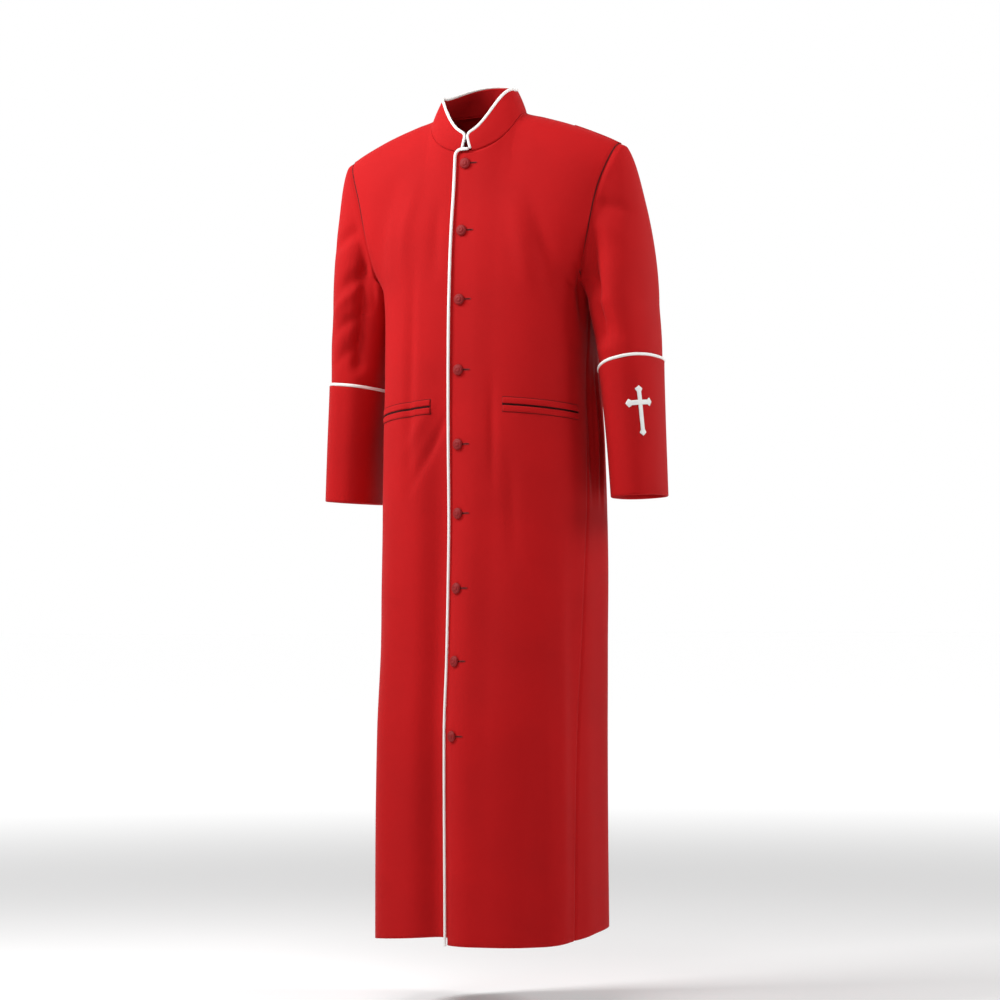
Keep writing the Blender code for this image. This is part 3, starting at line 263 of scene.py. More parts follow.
# Soft creases of the body, as straight strokes in degrees round from the centre front
# towards the wearer's left and metres up. Depth is negative for a valley.
Crease = namedtuple("Crease", "around_a height_a around_b height_b width depth")
METRES_PER_DEGREE = 0.0033
CREASE_SWELL = 1.3              # above 1 a crease fades out softly at both ends
BODY_CREASES = (
    Crease(50, -0.130, 61, -0.360, 0.017, -0.0090),
    Crease(40, -0.150, 46, -0.330, 0.016, 0.0040),
    Crease(74, -0.210, 81, -0.380, 0.012, -0.0090),
    Crease(64, -0.252, 80, -0.294, 0.004, -0.0026),
    Crease(60, -0.276, 78, -0.318, 0.005, -0.0024),
    Crease(-62, -0.080, -62, -0.300, 0.020, -0.0080),
    Crease(-48, -0.100, -44, -0.300, 0.014, 0.0035),
    Crease(-37, -0.220, -35, -0.680, 0.012, -0.0050),
    Crease(-26, -0.140, -20, -0.300, 0.018, -0.0030),
    Crease(-6, -0.495, -38, -0.655, 0.009, -0.0042),
    Crease(-14, -0.470, -44, -0.600, 0.012, 0.0026),
    Crease(23, -0.430, 23, -0.660, 0.010, -0.0026),
    Crease(33, -0.560, 36, -0.780, 0.014, -0.0030),
    Crease(-13, -0.340, -10, -2.100, 0.040, -0.0240),
    Crease(-50, -0.560, -52, -2.150, 0.034, 0.0100),
    Crease(-20, -0.400, -17, -2.050, 0.022, -0.0070),
    Crease(48, -0.700, 44, -2.000, 0.020, -0.0045),
    Crease(61, -0.640, 60, -1.500, 0.014, 0.0035),
    Crease(86, -0.400, 84, -0.680, 0.007, -0.0070),
    Crease(92.8, -0.405, 90, -0.680, 0.005, 0.0060),
    Crease(96.4, -0.420, 93, -0.670, 0.004, -0.0060),
    Crease(99.8, -0.400, 96, -0.690, 0.005, 0.0055),
    Crease(106, -0.390, 104, -0.700, 0.010, -0.0060),
    Crease(-86, -0.420, -88, -0.680, 0.009, -0.0065),
    Crease(-95, -0.400, -97, -0.640, 0.009, 0.0060),
    Crease(-103, -0.410, -106, -0.720, 0.012, -0.0055),
    Crease(150, -0.150, 122, -0.330, 0.020, -0.0080),
    Crease(168, -0.170, 140, -0.400, 0.018, 0.0035),
    Crease(-152, -0.140, -124, -0.320, 0.021, -0.0085),
    Crease(-170, -0.200, -140, -0.430, 0.016, 0.0030),
    Crease(166, -0.380, 160, -0.640, 0.020, -0.0055),
    Crease(-172, -0.420, -164, -0.740, 0.018, 0.0040),
    Crease(140, -0.600, 134, -2.000, 0.028, -0.0080),
    Crease(-146, -0.650, -150, -2.100, 0.030, -0.0085),
    Crease(174, -0.700, 178, -1.900, 0.022, 0.0050),
)

# Creases of the sleeves: degrees from the outer side towards the front, and metres up
SLEEVE_CREASES = {
    "left": (
        Crease(128, -0.150, 20, -0.185, 0.013, -0.0050),
        Crease(120, -0.190, 40, -0.225, 0.014, 0.0025),
        Crease(122, -0.140, 112, -0.520, 0.024, -0.0150),
        Crease(165, -0.240, 95, -0.330, 0.014, -0.0050),
        Crease(140, -0.330, 60, -0.400, 0.016, -0.0035),
        Crease(-50, -0.160, -140, -0.240, 0.018, -0.0060),
        Crease(-70, -0.270, -160, -0.370, 0.017, -0.0055),
        Crease(-90, -0.200, -96, -0.420, 0.022, 0.0030),
    ),
    "right": (
        Crease(110, -0.170, 30, -0.225, 0.014, -0.0045),
        Crease(140, -0.230, 60, -0.300, 0.013, -0.0055),
        Crease(112, -0.110, 122, -0.600, 0.022, -0.0150),
        Crease(140, -0.310, 50, -0.370, 0.011, -0.0048),
        Crease(120, -0.270, 40, -0.345, 0.010, 0.0030),
        Crease(130, -0.360, 60, -0.425, 0.012, -0.0040),
        Crease(-60, -0.170, -150, -0.270, 0.018, -0.0060),
        Crease(-80, -0.300, -160, -0.400, 0.016, -0.0050),
    ),
}
SLEEVE_METRES_PER_DEGREE = 0.0011
CUFF_CREASE_FADE = 0.030        # the sleeve's creases end this far above the cuff
SLEEVE_CREASE_START = 0.030     # and start this far below the armhole
HEAD_PUFF = 0.0040              # fullness eased into the sleeve's head, at the shoulder
HEAD_PUFF_START = 0.012
HEAD_PUFF_END = 0.100
SEAM_DIP_AT_TIP = 0.25          # share of the seam's dip that is left at the shoulder's tip
SEAM_TIP_REACH = 0.060
YOKE_GATHER = 1.4               # the yoke's rows stand closer towards the shoulder
YOKE_ROUNDS = 12                # of settling the yoke's heights under the shoulder line
YOKE_SHARES = 1 - (1 - np.linspace(0.0, 1.0, ROWS_YOKE + 1)) ** YOKE_GATHER

# Trim
CORD_SIDES = 16
CORD_CAP = (20.0, 45.0, 70.0)   # degrees of the rings that round off an open end
PIPING_CLEARANCE = 0.0001       # between the front's piping and the edge it binds
PIPING_TOP_END = 0.0062         # where the front's piping stops, beside the collar's end
PIPING_FOOT_CUT = 0.0052        # the collar's piping starts this far above the neck seam
BUTTON_SIDES = 48
BUTTON_RINGS = 18
BUTTON_RIM = 0.0014
BUTTON_CROWN = 0.0042
BUTTON_GROOVE = 0.0008
BUTTON_ROUNDNESS = 0.6          # power of the crown's curve
BUTTON_GROOVE_AT = 0.60         # places and widths on a button are shares of its radius
BUTTON_GROOVE_WIDTH = 0.09
BUTTON_HOLLOW = 0.0009
BUTTON_HOLLOW_WIDTH = 0.16
BUTTON_FOOT = (0.30, 0.80, 0.95)    # its underside and lower edge, from the middle out
BUTTON_FOOT_RISE = (0.0, 0.0, 0.0004)
BUTTON_MIDDLE = 0.02            # the crown's last ring, closed by one face
BUTTONHOLE_START = 0.006
BUTTONHOLE_END = 0.021
BUTTONHOLE_HALF_HEIGHT = 0.0011
BUTTONHOLE_CORD = 0.0005
BUTTONHOLE_POINTS = 48
BUTTONHOLE_ROUNDNESS = 0.5      # power of its outline, below 1 for long straight sides
BUTTON_SLIT_POINT = 0.96        # how far the slit in it narrows to its ends
BUTTON_SLIT_COLUMNS = 24
SLIT_LIFT = 0.0001
SLIT_THICKNESS = 0.0002
WELT_PARTING = 0.0011           # a worn welt rolls back this far from its slit
WELT_COLUMNS = 80
WELT_ROWS = 14
WELT_ROLL = 0.22                # share of a welt's width that rounds off at the slit
WELT_SINK_AT = 0.72             # and from where it sinks to its seam
WELT_FULLNESS = 0.75            # share of its thickness that rounds off and sinks
SLIT_SHADE_REACH = 0.95             # share of the slit that its strip of painted shade fills
SLIT_COLUMNS = 60
SLIT_ROWS = 4
# Dark cord of painted shade round a pocket's welts: its points, clearance and radius
POCKET_SHADE_POINTS = 240             # round a pocket
POCKET_SHADE_CLEAR = 0.0008
POCKET_SHADE_CORD = 0.00035
# Radius of the dark cord of painted shade in each armhole's seam
SEAM_SHADE_CORD = 0.0009
CROSS_POINT = 0.0004            # half width of the tip's very end
CROSS_SEARCH = 60               # degrees to each side in which the cross finds its place
CROSS_SEARCH_STEPS = 240
CROSS_ROWS = 90
CROSS_COLUMNS = 13
CROSS_EDGE = 0.45               # share of the stitch's thickness at a bar's sides
CROSS_ROUNDNESS = 0.97
CROSS_BAR_LIFT = 0.0003         # the level bar is worked over the upright one

# Patterns of the cloth, in metres
WAVE_PERIOD = 0.31416           # a band texture at scale 1 repeats after this
TWILL_SPACING = 0.0006          # twill rib, drawn a little coarser than the real 0.4 mm
TWILL_ANGLE = 63.0
YARN_SIZE = 0.0012
DYE_PATCH = 0.12

# Stage
FLOOR_HEIGHT = -1.520
FLOOR_HALF = 60.0
FLOOR_LINES = 9
Light = namedtuple("Light", "name azimuth elevation distance width height watts")
LIGHTS = (
    Light("left_softbox", -54, 36, 2.4, 0.8, 1.0, 69),
    Light("right_softbox", 100, 24, 2.6, 0.8, 1.2, 36),
    Light("front_softbox", 6, 56, 2.6, 1.2, 1.0, 30),
)
LIGHT_AIM = (0.0, 0.0, -0.35)
WORLD_NEAR = 0.06              # the room is dim, and its wall behind the robe is white
WORLD_FAR = 1.00
CAMERA_SENSOR = 36.0
CAMERA_FIELD = 1.7              # metres across the frame at the robe's middle
CAMERA_SHIFT = (0.0156, 0.050)
CAMERA_PITCH = 1.071            # degrees up, which leaves less to the shift
CAMERA_HEIGHT = -0.8336
CAMERA_ROLL = -0.4


def smooth_curve(at, places, values):
    """Piecewise cubic through the table's points, without overshoot; flat beyond the ends."""
    order = np.argsort(places)
    x = np.asarray(places, float)[order]
    y = np.asarray(values, float)[order]
    step = np.diff(x)
    slope = np.diff(y) / step
    tangent = np.zeros_like(y)
    same_way = slope[:-1] * slope[1:] > 0
    weight_a = 2 * step[1:] + step[:-1]
    weight_b = step[1:] + 2 * step[:-1]
    safe = np.where(same_way, slope[:-1] * slope[1:], 1.0)
    weighted = weight_a * slope[1:] + weight_b * slope[:-1] + ~same_way
    harmonic = (weight_a + weight_b) * safe / weighted
    tangent[1:-1] = np.where(same_way, harmonic, 0.0)
    tangent[0] = slope[0]
    tangent[-1] = slope[-1]
    at = np.clip(np.asarray(at, float), x[0], x[-1])
    k = np.clip(np.searchsorted(x, at) - 1, 0, len(step) - 1)
    t = (at - x[k]) / step[k]
    start = (1 + 2 * t) * (1 - t) ** 2 * y[k] + t * (1 - t) ** 2 * step[k] * tangent[k]
    end = t * t * (3 - 2 * t) * y[k + 1] + t * t * (t - 1) * step[k] * tangent[k + 1]
    return start + end


def column(table, name):
    """One named column of a table, as an array."""
    return np.array([getattr(row, name) for row in table])


def from_table(table, place, name, at):
    """The table's column `name` at the given values of its column `place`."""
    return smooth_curve(at, column(table, place), column(table, name))


def ease(x):
    """0 below 0, 1 above 1, and a smooth rise between."""
    x = np.clip(x, 0.0, 1.0)
    return x * x * (3 - 2 * x)


def unit(v):
    """Vectors along the last axis, scaled to length one."""
    return v / np.maximum(np.linalg.norm(v, axis=-1, keepdims=True), 1e-12)


def level(v):
    """Vectors made level and scaled to length one."""
    return unit(v * np.array([1.0, 1.0, 0.0]))


def section(name, height):
    """One column of the body's table of sections."""
    return from_table(BODY_SECTIONS, "height", name, height)


def side_at(turn, height):
    """How far out the body's section reaches at this turn, before its folds."""
    power = 2 / section("squareness", height)
    return section("half_width", height) * np.abs(np.sin(np.radians(turn))) ** power


def powered(share, power):
    """A share from -1 to 1 raised to a power, its sign kept."""
    return np.sign(share) * np.abs(share) ** power


def section_middle(height):
    """Where the section's widest line lies, front to back."""
    return (section("back", height) - section("front", height)) / 2


def shoulder_height(side):
    """Height of the shoulder line this far out."""
    return from_table(SHOULDER_LINE, "side", "height", np.abs(side))


def shoulder_rounding(side, height):
    """1 below the chest, falling as a quarter circle to 0 at the shoulder line."""
    span = shoulder_height(side) - SHOULDER_ROUND_BELOW
    t = np.clip((height - SHOULDER_ROUND_BELOW) / span, 0.0, 1.0)
    return np.sqrt(1 - t * t)


def fold_depth(around, height):
    """Sum of the table's folds: each a bell across and a soft start below its top."""
    total = np.zeros(np.broadcast(around, height).shape)
    for fold in FOLDS:
        below = (fold.top - height) / fold.fade
        middle = fold.around + fold.drift * np.clip(below, 0.0, 2.0)
        off = (around - middle + 180) % 360 - 180
        total = total + fold.depth * np.exp(-(off / fold.width) ** 2) * ease(below)
    return total


def crease_depth(creases, around, height, metres_per_degree):
    """Sum of a table's creases: each a bell across its stroke, swelling and fading along it."""
    total = np.zeros(np.broadcast(around, height).shape)
    for crease in creases:
        run = (crease.around_b - crease.around_a) * metres_per_degree
        fall = crease.height_b - crease.height_a
        off = (around - crease.around_a + 180) % 360 - 180
        off = off * metres_per_degree
        down = height - crease.height_a
        length = math.hypot(run, fall)
        place = (off * run + down * fall) / length ** 2
        beside = (off * fall - down * run) / length
        swell = np.sin(np.pi * np.clip(place, 0.0, 1.0)) ** CREASE_SWELL
        total = total + crease.depth * swell * np.exp(-(beside / crease.width) ** 2)
    return total


def body_surface(turn, height, mirror=1):
    """Outer body surface. Turn runs from 0 at the centre front over 90 degrees at the side
    to 180 at the centre back, and is negative past the centre front. Each level section is
    a superellipse of the table's sizes, rounded in to the shoulder line, with folds pushed
    straight out from its middle. Mirror -1 gives the wearer's right half."""
    turn = np.radians(turn)
    half_width = section("half_width", height)
    front = section("front", height)
    half_depth = (front + section("back", height)) / 2
    power = 2 / section("squareness", height)
    across = powered(np.sin(turn), power)
    along = powered(np.cos(turn), power)
    x = half_width * across
    rounding = shoulder_rounding(x, height) / np.maximum(shoulder_rounding(0.0, height), 1e-6)
    y_off = -half_depth * along * rounding
    around = np.degrees(np.arctan2(mirror * x, -y_off))
    push = fold_depth(around, height)
    push = push + crease_depth(BODY_CREASES, around, height, METRES_PER_DEGREE)
    reach = np.maximum(np.hypot(x, y_off), 1e-6)
    return np.stack([mirror * x * (1 + push / reach),
                     section_middle(height) + y_off * (1 + push / reach),
                     np.broadcast_to(height, x.shape)], axis=-1)


def turn_at_side(x, height, back=False):
    """The turn at which the body surface is this far out, on the front or the back."""
    share = np.clip(np.abs(x) / section("half_width", height), 0.0, 1.0)
    turn = np.degrees(np.arcsin(share ** (section("squareness", height) / 2))) * np.sign(x)
    return 180 - turn if back else turn


def armhole(share, back=False):
    """Turn and height along one half of the armhole, from the underarm (0) to the tip (1)."""
    angle = np.pi * (1 - share)
    middle = (ARMHOLE_TOP + ARMHOLE_BOTTOM) / 2
    height = middle + (ARMHOLE_TOP - ARMHOLE_BOTTOM) / 2 * np.cos(angle)
    reach = ARMHOLE_REACH * (1 - (angle / np.pi) ** ARMHOLE_FLATNESS)
    turn = np.degrees(np.arccos(reach ** (section("squareness", height) / 2)))
    tip = side_at(turn[-1], ARMHOLE_TOP)
    height = height + (shoulder_height(tip) - ARMHOLE_TOP) * share ** ARMHOLE_TIP_POWER
    return (180 - turn if back else turn), height


def neck_height(swing):
    """Height of the neck seam; swing is 0 at the centre back and 180 at the centre front."""
    c = np.cos(np.radians(swing))
    back = NECK_BACK_HEIGHT * np.maximum(c, 0) ** NECK_BACK_DROP
    return back + NECK_FRONT_HEIGHT * np.maximum(-c, 0)


def neck_columns(edge):
    """Swings of a front's columns along the neck, from the shoulder to this far from the
    centre."""
    last = 180 - np.degrees(np.arcsin(edge / NECK_HALF_WIDTH))
    return 90 + (last - 90) * np.linspace(0.0, 1.0, COLUMNS_FRONT_NECK + 1) ** NECK_GATHER


def turn_along_row(first, last, height, steps):
    """Turns that part each level row, between two turns, into steps of equal length."""
    dense = np.linspace(0.0, 1.0, ROW_SAMPLES)
    turn = first[:, None] + (last - first)[:, None] * dense
    line = body_surface(turn, height[:, None])
    length = np.zeros(turn.shape)
    length[:, 1:] = np.cumsum(np.linalg.norm(np.diff(line, axis=1), axis=-1), axis=1)
    wanted = 1 - (1 - np.linspace(0.0, 1.0, steps + 1)) ** COLUMN_GATHER
    return np.stack([np.interp(wanted * run[-1], run, row) for run, row in zip(length, turn)])


def lap_columns(edge, other_edge):
    """Side distances of the columns near the centre, shared by both fronts."""
    return np.concatenate([np.linspace(-edge, 0.0, LAP_STEPS + 1)[:-1],
                           np.linspace(0.0, other_edge, LAP_STEPS + 1)])


def yoke(bottom_turn, top_turn, top_height, edge_turn, arm_turn, arm_height):
    """Turn and height of the rows from the armpit level to the neck and shoulder seams.
    A blend of the four edges, in turn and in the square root of the share of the height
    that is left up to the shoulder line, which is even over the rounded shoulder."""
    def share_up(turn, height):
        span = shoulder_height(side_at(turn, height)) - ARMHOLE_BOTTOM
        return (height - ARMHOLE_BOTTOM) / span

    v = YOKE_SHARES[:, None]
    u = np.linspace(0.0, 1.0, len(bottom_turn))[None, :]
    top_share = share_up(top_turn, top_height)[None, :]
    arm_share = share_up(arm_turn, arm_height)[:, None]
    arm_share[-1] = top_share[0, -1]
    turn = ((1 - v) * bottom_turn[None, :] + v * top_turn[None, :]
            + (1 - u) * edge_turn[:, None] + u * arm_turn[:, None]
            - (1 - u) * ((1 - v) * bottom_turn[0] + v * top_turn[0])
            - u * ((1 - v) * bottom_turn[-1] + v * top_turn[-1]))

    def short(share):
        return np.sqrt(np.clip(1 - share, 0.0, 1.0))

    top = short(top_share)
    edge = short(v * top_share[0, 0])
    arm = short(arm_share)
    left_over = ((1 - v) + v * top + (1 - u) * edge + u * arm
                 - (1 - u) * (1 - v + v * top[:, :1]) - u * (1 - v + v * top[:, -1:]))
    share = 1 - np.clip(left_over, 0.0, 1.0) ** 2
    height = ARMHOLE_BOTTOM * (1 - share)
    for _ in range(YOKE_ROUNDS):
        span = shoulder_height(side_at(turn, height)) - ARMHOLE_BOTTOM
        height = ARMHOLE_BOTTOM + share * span
    return turn, height


def hem_height(mirror, turn):
    """Height of the hem at this turn, on the wearer's left (1) or right (-1) half."""
    return from_table(HEM_LEFT if mirror > 0 else HEM_RIGHT, "around", "height", turn)


def up_from_hem(mirror, turn, levels):
    """Heights at these shares of the way from the hem, at this turn, up to the armpit."""
    hem = hem_height(mirror, turn)
    return hem + (ARMHOLE_BOTTOM - hem) * levels


def seam_turn(height):
    """Turn of the side seam at this height."""
    return 90.0 - from_table(SIDE_SEAM, "height", "forward_degrees", height)


def front_grid(mirror, edge, other_edge):
    """Turn and height of a front's grid: rows from the hem up, columns from the edge out."""
    lap = lap_columns(edge, other_edge)
    levels = np.linspace(0.0, 1.0, ROWS_SKIRT + 1)
    base = up_from_hem(mirror, 90.0, levels)
    lap_turn = turn_at_side(lap[None, :], base[:, None])
    out_turn = turn_along_row(lap_turn[:, -1], seam_turn(base), base, COLUMNS_FRONT)
    turn = np.concatenate([lap_turn[:, :-1], out_turn], axis=1)
    height = up_from_hem(mirror, turn[0], levels[:, None])
    turn[:, :LAP_COLUMNS] = turn_at_side(lap[None, :], height[:, :LAP_COLUMNS])

    swing = neck_columns(other_edge)[::-1][1:]
    neck_x = np.concatenate([lap, NECK_HALF_WIDTH * np.sin(np.radians(swing))])
    neck_z = np.concatenate([neck_height(180 - np.degrees(np.arcsin(np.maximum(lap, 0)
                                                                    / NECK_HALF_WIDTH))),
                             neck_height(swing)])
    arm_turn, arm_height = armhole(YOKE_SHARES)
    tip_x = side_at(arm_turn[-1], arm_height[-1])
    shoulder_x = np.linspace(NECK_HALF_WIDTH, tip_x,
                             COLUMNS_FRONT - COLUMNS_FRONT_NECK + 1)[1:]
    top_x = np.concatenate([neck_x, shoulder_x])
    top_z = np.concatenate([neck_z, shoulder_height(shoulder_x)])
    top_turn = turn_at_side(top_x, top_z)
    rise = YOKE_SHARES[:, None]
    lap_height = ARMHOLE_BOTTOM + (top_z[:LAP_COLUMNS] - ARMHOLE_BOTTOM) * rise
    lap_turn = turn_at_side(lap[None, :], lap_height)
    last = LAP_COLUMNS - 1
    yoke_turn, yoke_height = yoke(turn[-1, last:], top_turn[last:], top_z[last:],
                                  lap_turn[:, last], arm_turn, arm_height)
    yoke_turn = np.concatenate([lap_turn[:, :last], yoke_turn], axis=1)
    yoke_height = np.concatenate([lap_height[:, :last], yoke_height], axis=1)
    turn = np.concatenate([turn, yoke_turn[1:]])
    height = np.concatenate([height, yoke_height[1:]])

    # The free corner at the top of the lap is rounded
    rise = np.clip(height - (NECK_FRONT_HEIGHT - LAP_CORNER), 0.0, LAP_CORNER)
    corner_x = -edge + LAP_CORNER - np.sqrt(LAP_CORNER ** 2 - rise ** 2)
    x = np.broadcast_to(lap, (len(height), LAP_COLUMNS)).copy()
    x = np.where(x < 0, x * corner_x[:, :LAP_COLUMNS] / -edge, x)
    turn[:, :LAP_COLUMNS] = turn_at_side(x, height[:, :LAP_COLUMNS])
    return turn, height


def back_grid(mirror):
    """Turn and height of half the back: rows from the hem up, columns from the centre out."""
    columns = COLUMNS_BACK_NECK + COLUMNS_BACK_SHOULDER
    levels = np.linspace(0.0, 1.0, ROWS_SKIRT + 1)
    base = up_from_hem(mirror, 90.0, levels)
    turn = turn_along_row(np.full(len(base), 180.0), seam_turn(base), base, columns)
    height = up_from_hem(mirror, turn[0], levels[:, None])

    swing = np.linspace(0, 90, COLUMNS_BACK_NECK + 1)
    arm_turn, arm_height = armhole(YOKE_SHARES, back=True)
    tip_x = side_at(arm_turn[-1], arm_height[-1])
    shoulder_x = np.linspace(NECK_HALF_WIDTH, tip_x, COLUMNS_BACK_SHOULDER + 1)[1:]
    top_x = np.concatenate([NECK_HALF_WIDTH * np.sin(np.radians(swing)), shoulder_x])
    top_z = np.concatenate([neck_height(swing), shoulder_height(shoulder_x)])
    top_turn = turn_at_side(top_x, top_z, back=True)
    yoke_turn, yoke_height = yoke(turn[-1], top_turn, top_z, np.full(len(arm_turn), 180.0),
                                  arm_turn, arm_height)
    return np.concatenate([turn, yoke_turn[1:]]), np.concatenate([height, yoke_height[1:]])


def grid_normals(points, closed=False):
    """Unit normals of a grid of points, each the sum of its quads' areas; column cross row."""
    wide = np.concatenate([points, points[:, :1]], axis=1) if closed else points
    area = np.cross(wide[1:, 1:] - wide[:-1, :-1], wide[1:, :-1] - wide[:-1, 1:])
    total = np.zeros_like(wide)
    for row in (slice(None, -1), slice(1, None)):
        for place in (slice(None, -1), slice(1, None)):
            total[row, place] += area
    if closed:
        total[:, 0] += total[:, -1]
        total = total[:, :-1]
    return unit(total)


def share_seam(one, other):
    """Average the normals of two panels along the seam that they share."""
    middle = unit(one + other)
    one[...] = middle
    other[...] = middle


def lap_lift(x):
    """How far the left front stands out where it laps over the right one."""
    return LAP_LIFT * (1 - ease((x - LAP_FLAT) / (LAP_FADE - LAP_FLAT)))


def panels():
    """Outer points and normals of both fronts and of the back."""
    left = body_surface(*front_grid(1, LAP_EDGE, UNDERLAP_EDGE), mirror=1)
    right = body_surface(*front_grid(-1, UNDERLAP_EDGE, LAP_EDGE), mirror=-1)
    back_left = body_surface(*back_grid(1), mirror=1)
    back_right = body_surface(*back_grid(-1), mirror=-1)
    back = np.concatenate([back_right[:, :0:-1], back_left], axis=1)

    normals = {"left": grid_normals(left), "right": -grid_normals(right),
               "back": -grid_normals(back)}
    skirt_rows = ROWS_SKIRT + 1
    neck_end = LAP_COLUMNS - 1 + COLUMNS_FRONT_NECK
    half = back_left.shape[1] - 1
    share_seam(normals["left"][:skirt_rows, -1], normals["back"][:skirt_rows, -1])
    share_seam(normals["right"][:skirt_rows, -1], normals["back"][:skirt_rows, 0])
    shoulder = COLUMNS_FRONT - COLUMNS_FRONT_NECK + 1
    share_seam(normals["left"][-1, neck_end:], normals["back"][-1, -shoulder:])
    share_seam(normals["right"][-1, neck_end:], normals["back"][-1, :shoulder][::-1])
    return left, right, back, normals, neck_end, half


def neck_knots(mirror):
    """Swings of the panels' columns along the neck, from the centre back to the centre front."""
    lap = UNDERLAP_EDGE if mirror > 0 else LAP_EDGE
    lap_sides = np.linspace(lap, 0.0, LAP_STEPS + 1)
    lap_swing = 180 - np.degrees(np.arcsin(lap_sides / NECK_HALF_WIDTH))
    return np.concatenate([np.linspace(0, 90, COLUMNS_BACK_NECK + 1), neck_columns(lap)[1:],
                           lap_swing[1:]])


def neck_edge(front, back, mirror):
    """The neck edge of one half, on the panels' outer faces, at the swings of neck_knots."""
    half = (back.shape[1] - 1) // 2
    neck_end = LAP_COLUMNS - 1 + COLUMNS_FRONT_NECK
    behind = back[-1, half::mirror][:COLUMNS_BACK_NECK + 1]
    return np.concatenate([behind, front[-1, LAP_STEPS:neck_end][::-1]])


def neck_seam(swing, edge, mirror):
    """Points of the neck seam, on the straight runs between the panels' own edge points.
    Swing is 0 at the centre back and 180 at the centre front."""
    knots = neck_knots(mirror)
    return np.stack([np.interp(swing, knots, edge[:, k]) for k in range(3)], axis=-1)


def collar_surface(swing, rise, edge, mirror):
    """Outer face of the collar: from the neck seam straight up to its top edge, slightly
    bulged. Swing is 0 at the centre back and 180 at the centre front, rise 0 to 1."""
    c = np.cos(np.radians(swing))
    s = np.sin(np.radians(swing))
    foot = neck_seam(swing, edge, mirror)
    out = unit(np.stack([mirror * s, c, np.zeros_like(s)], axis=-1))
    lift = lap_lift(np.abs(foot[..., 0])) if mirror > 0 else np.zeros_like(s)
    lift = np.where(c < 0, lift, 0.0)
    foot = foot + SEAM_GAP * out
    foot[..., 2] += SEAM_GAP
    beside = COLLAR_TOP_SIDE_HEIGHT[mirror]
    back = beside + (COLLAR_TOP_BACK_HEIGHT - beside) * np.maximum(c, 0) ** COLLAR_BACK_RISE
    front = (COLLAR_TOP_FRONT_HEIGHT - beside) * np.maximum(-c, 0) ** COLLAR_FRONT_DROP
    middle = (COLLAR_TOP_BACK + COLLAR_TOP_FRONT) / 2
    reach = (COLLAR_TOP_BACK - COLLAR_TOP_FRONT) / 2
    top = np.stack([mirror * COLLAR_TOP_HALF_WIDTH * s, middle + reach * c, back + front], axis=-1)
    top = top + lift[..., None] * out
    bulge = 4 * COLLAR_BULGE * rise * (1 - rise)
    return foot + (top - foot) * rise[..., None] + bulge[..., None] * out


def collar_half(edge, mirror, rows):
    """Outer points of the collar from the centre back to its rounded front end."""
    end_seam = 180 - math.degrees(math.asin(COLLAR_END_AT_SEAM / NECK_HALF_WIDTH))
    end_top = 180 - math.degrees(math.asin(COLLAR_END_AT_TOP / COLLAR_TOP_HALF_WIDTH))
    corner = math.degrees(COLLAR_CORNER / NECK_HALF_WIDTH)
    knots = neck_knots(mirror)
    knots = np.append(knots[knots < end_seam - corner - 1.0], end_seam - corner)
    round_turn = np.radians(np.linspace(0.0, 90.0, COLLAR_CORNER_STEPS + 1)[1:])
    last = end_seam - corner + corner * np.sin(round_turn)
    swing = np.concatenate([knots, last])
    front_height = COLLAR_TOP_FRONT_HEIGHT - NECK_FRONT_HEIGHT
    top_rise = np.concatenate([np.ones(len(knots)),
                               1 - COLLAR_CORNER / front_height * (1 - np.cos(round_turn))])
    rise = np.linspace(0.0, 1.0, rows + 1)[:, None] * top_rise[None, :]
    lean = (end_top - end_seam) * ease((swing - (end_seam - 3 * corner)) / (3 * corner))
    swing = swing[None, :] + lean[None, :] * rise
    return collar_surface(swing, rise, edge, mirror)


def evened(ring):
    """A closed line of vectors with each one eased towards its neighbours, many times over."""
    for _ in range(RING_EASING):
        ring = ring / 2 + (np.roll(ring, 1, axis=0) + np.roll(ring, -1, axis=0)) / 4
    return ring


def armhole_ring(front, back, front_normals, back_normals, mirror):
    """Armhole points with their outward normals and the way into the sleeve, from the tip
    over the front to the underarm and up the back: two steps to each row of the panels.
    The directions are evened out, since the columns stand very close at the tip."""
    def halved(line):
        ring = np.empty((2 * len(line), 3))
        ring[0::2] = line
        ring[1::2] = (line + np.roll(line, -1, axis=0)) / 2
        return ring

    point = halved(np.concatenate([front[::-1], back[1:-1]]))
    near_tip = 1 - ease(np.linalg.norm(point - point[0], axis=-1) / TIP_EASED)
    point = point + near_tip[:, None] * (evened(point) - point)
    face = unit(evened(halved(np.concatenate([front_normals[::-1], back_normals[1:-1]]))))
    ahead = evened(unit(np.roll(point, -1, axis=0) - np.roll(point, 1, axis=0)))
    into = unit(np.cross(face, ahead)) * mirror
    return point, face, into


def sleeve_tube(table, height, angle, mirror, grow=0.0, dip=0.0):
    """Points of the sleeve's tube at these heights and angles, square to its centre line.
    Angle runs from the outer side over the front; dip lowers the side of the body."""
    def centre_at(z):
        return np.stack([mirror * from_table(table, "height", "side", z),
                         from_table(table, "height", "depth", z), z], axis=-1)

    height, angle, dip = np.broadcast_arrays(height, angle, dip)
    along = unit(centre_at(height - TUBE_STEP) - centre_at(height + TUBE_STEP))
    forward = unit(np.array([0.0, -1.0, 0.0]) + along * along[..., 1:2])
    outward = mirror * np.cross(along, forward)
    outward = outward * np.sign(outward[..., :1] * mirror)
    thick = from_table(table, "height", "half_thickness", height) + grow
    wide = from_table(table, "height", "half_width", height) + grow
    power = 2 / SLEEVE_SQUARENESS
    c = powered(np.cos(angle), power)
    s = powered(np.sin(angle), power)
    point = (centre_at(height) + (thick * c)[..., None] * outward
             + (wide * s)[..., None] * forward)
    drop = dip * ((1 - np.cos(angle)) / 2) ** CUFF_DIP_PLACE
    return point + drop[..., None] * along


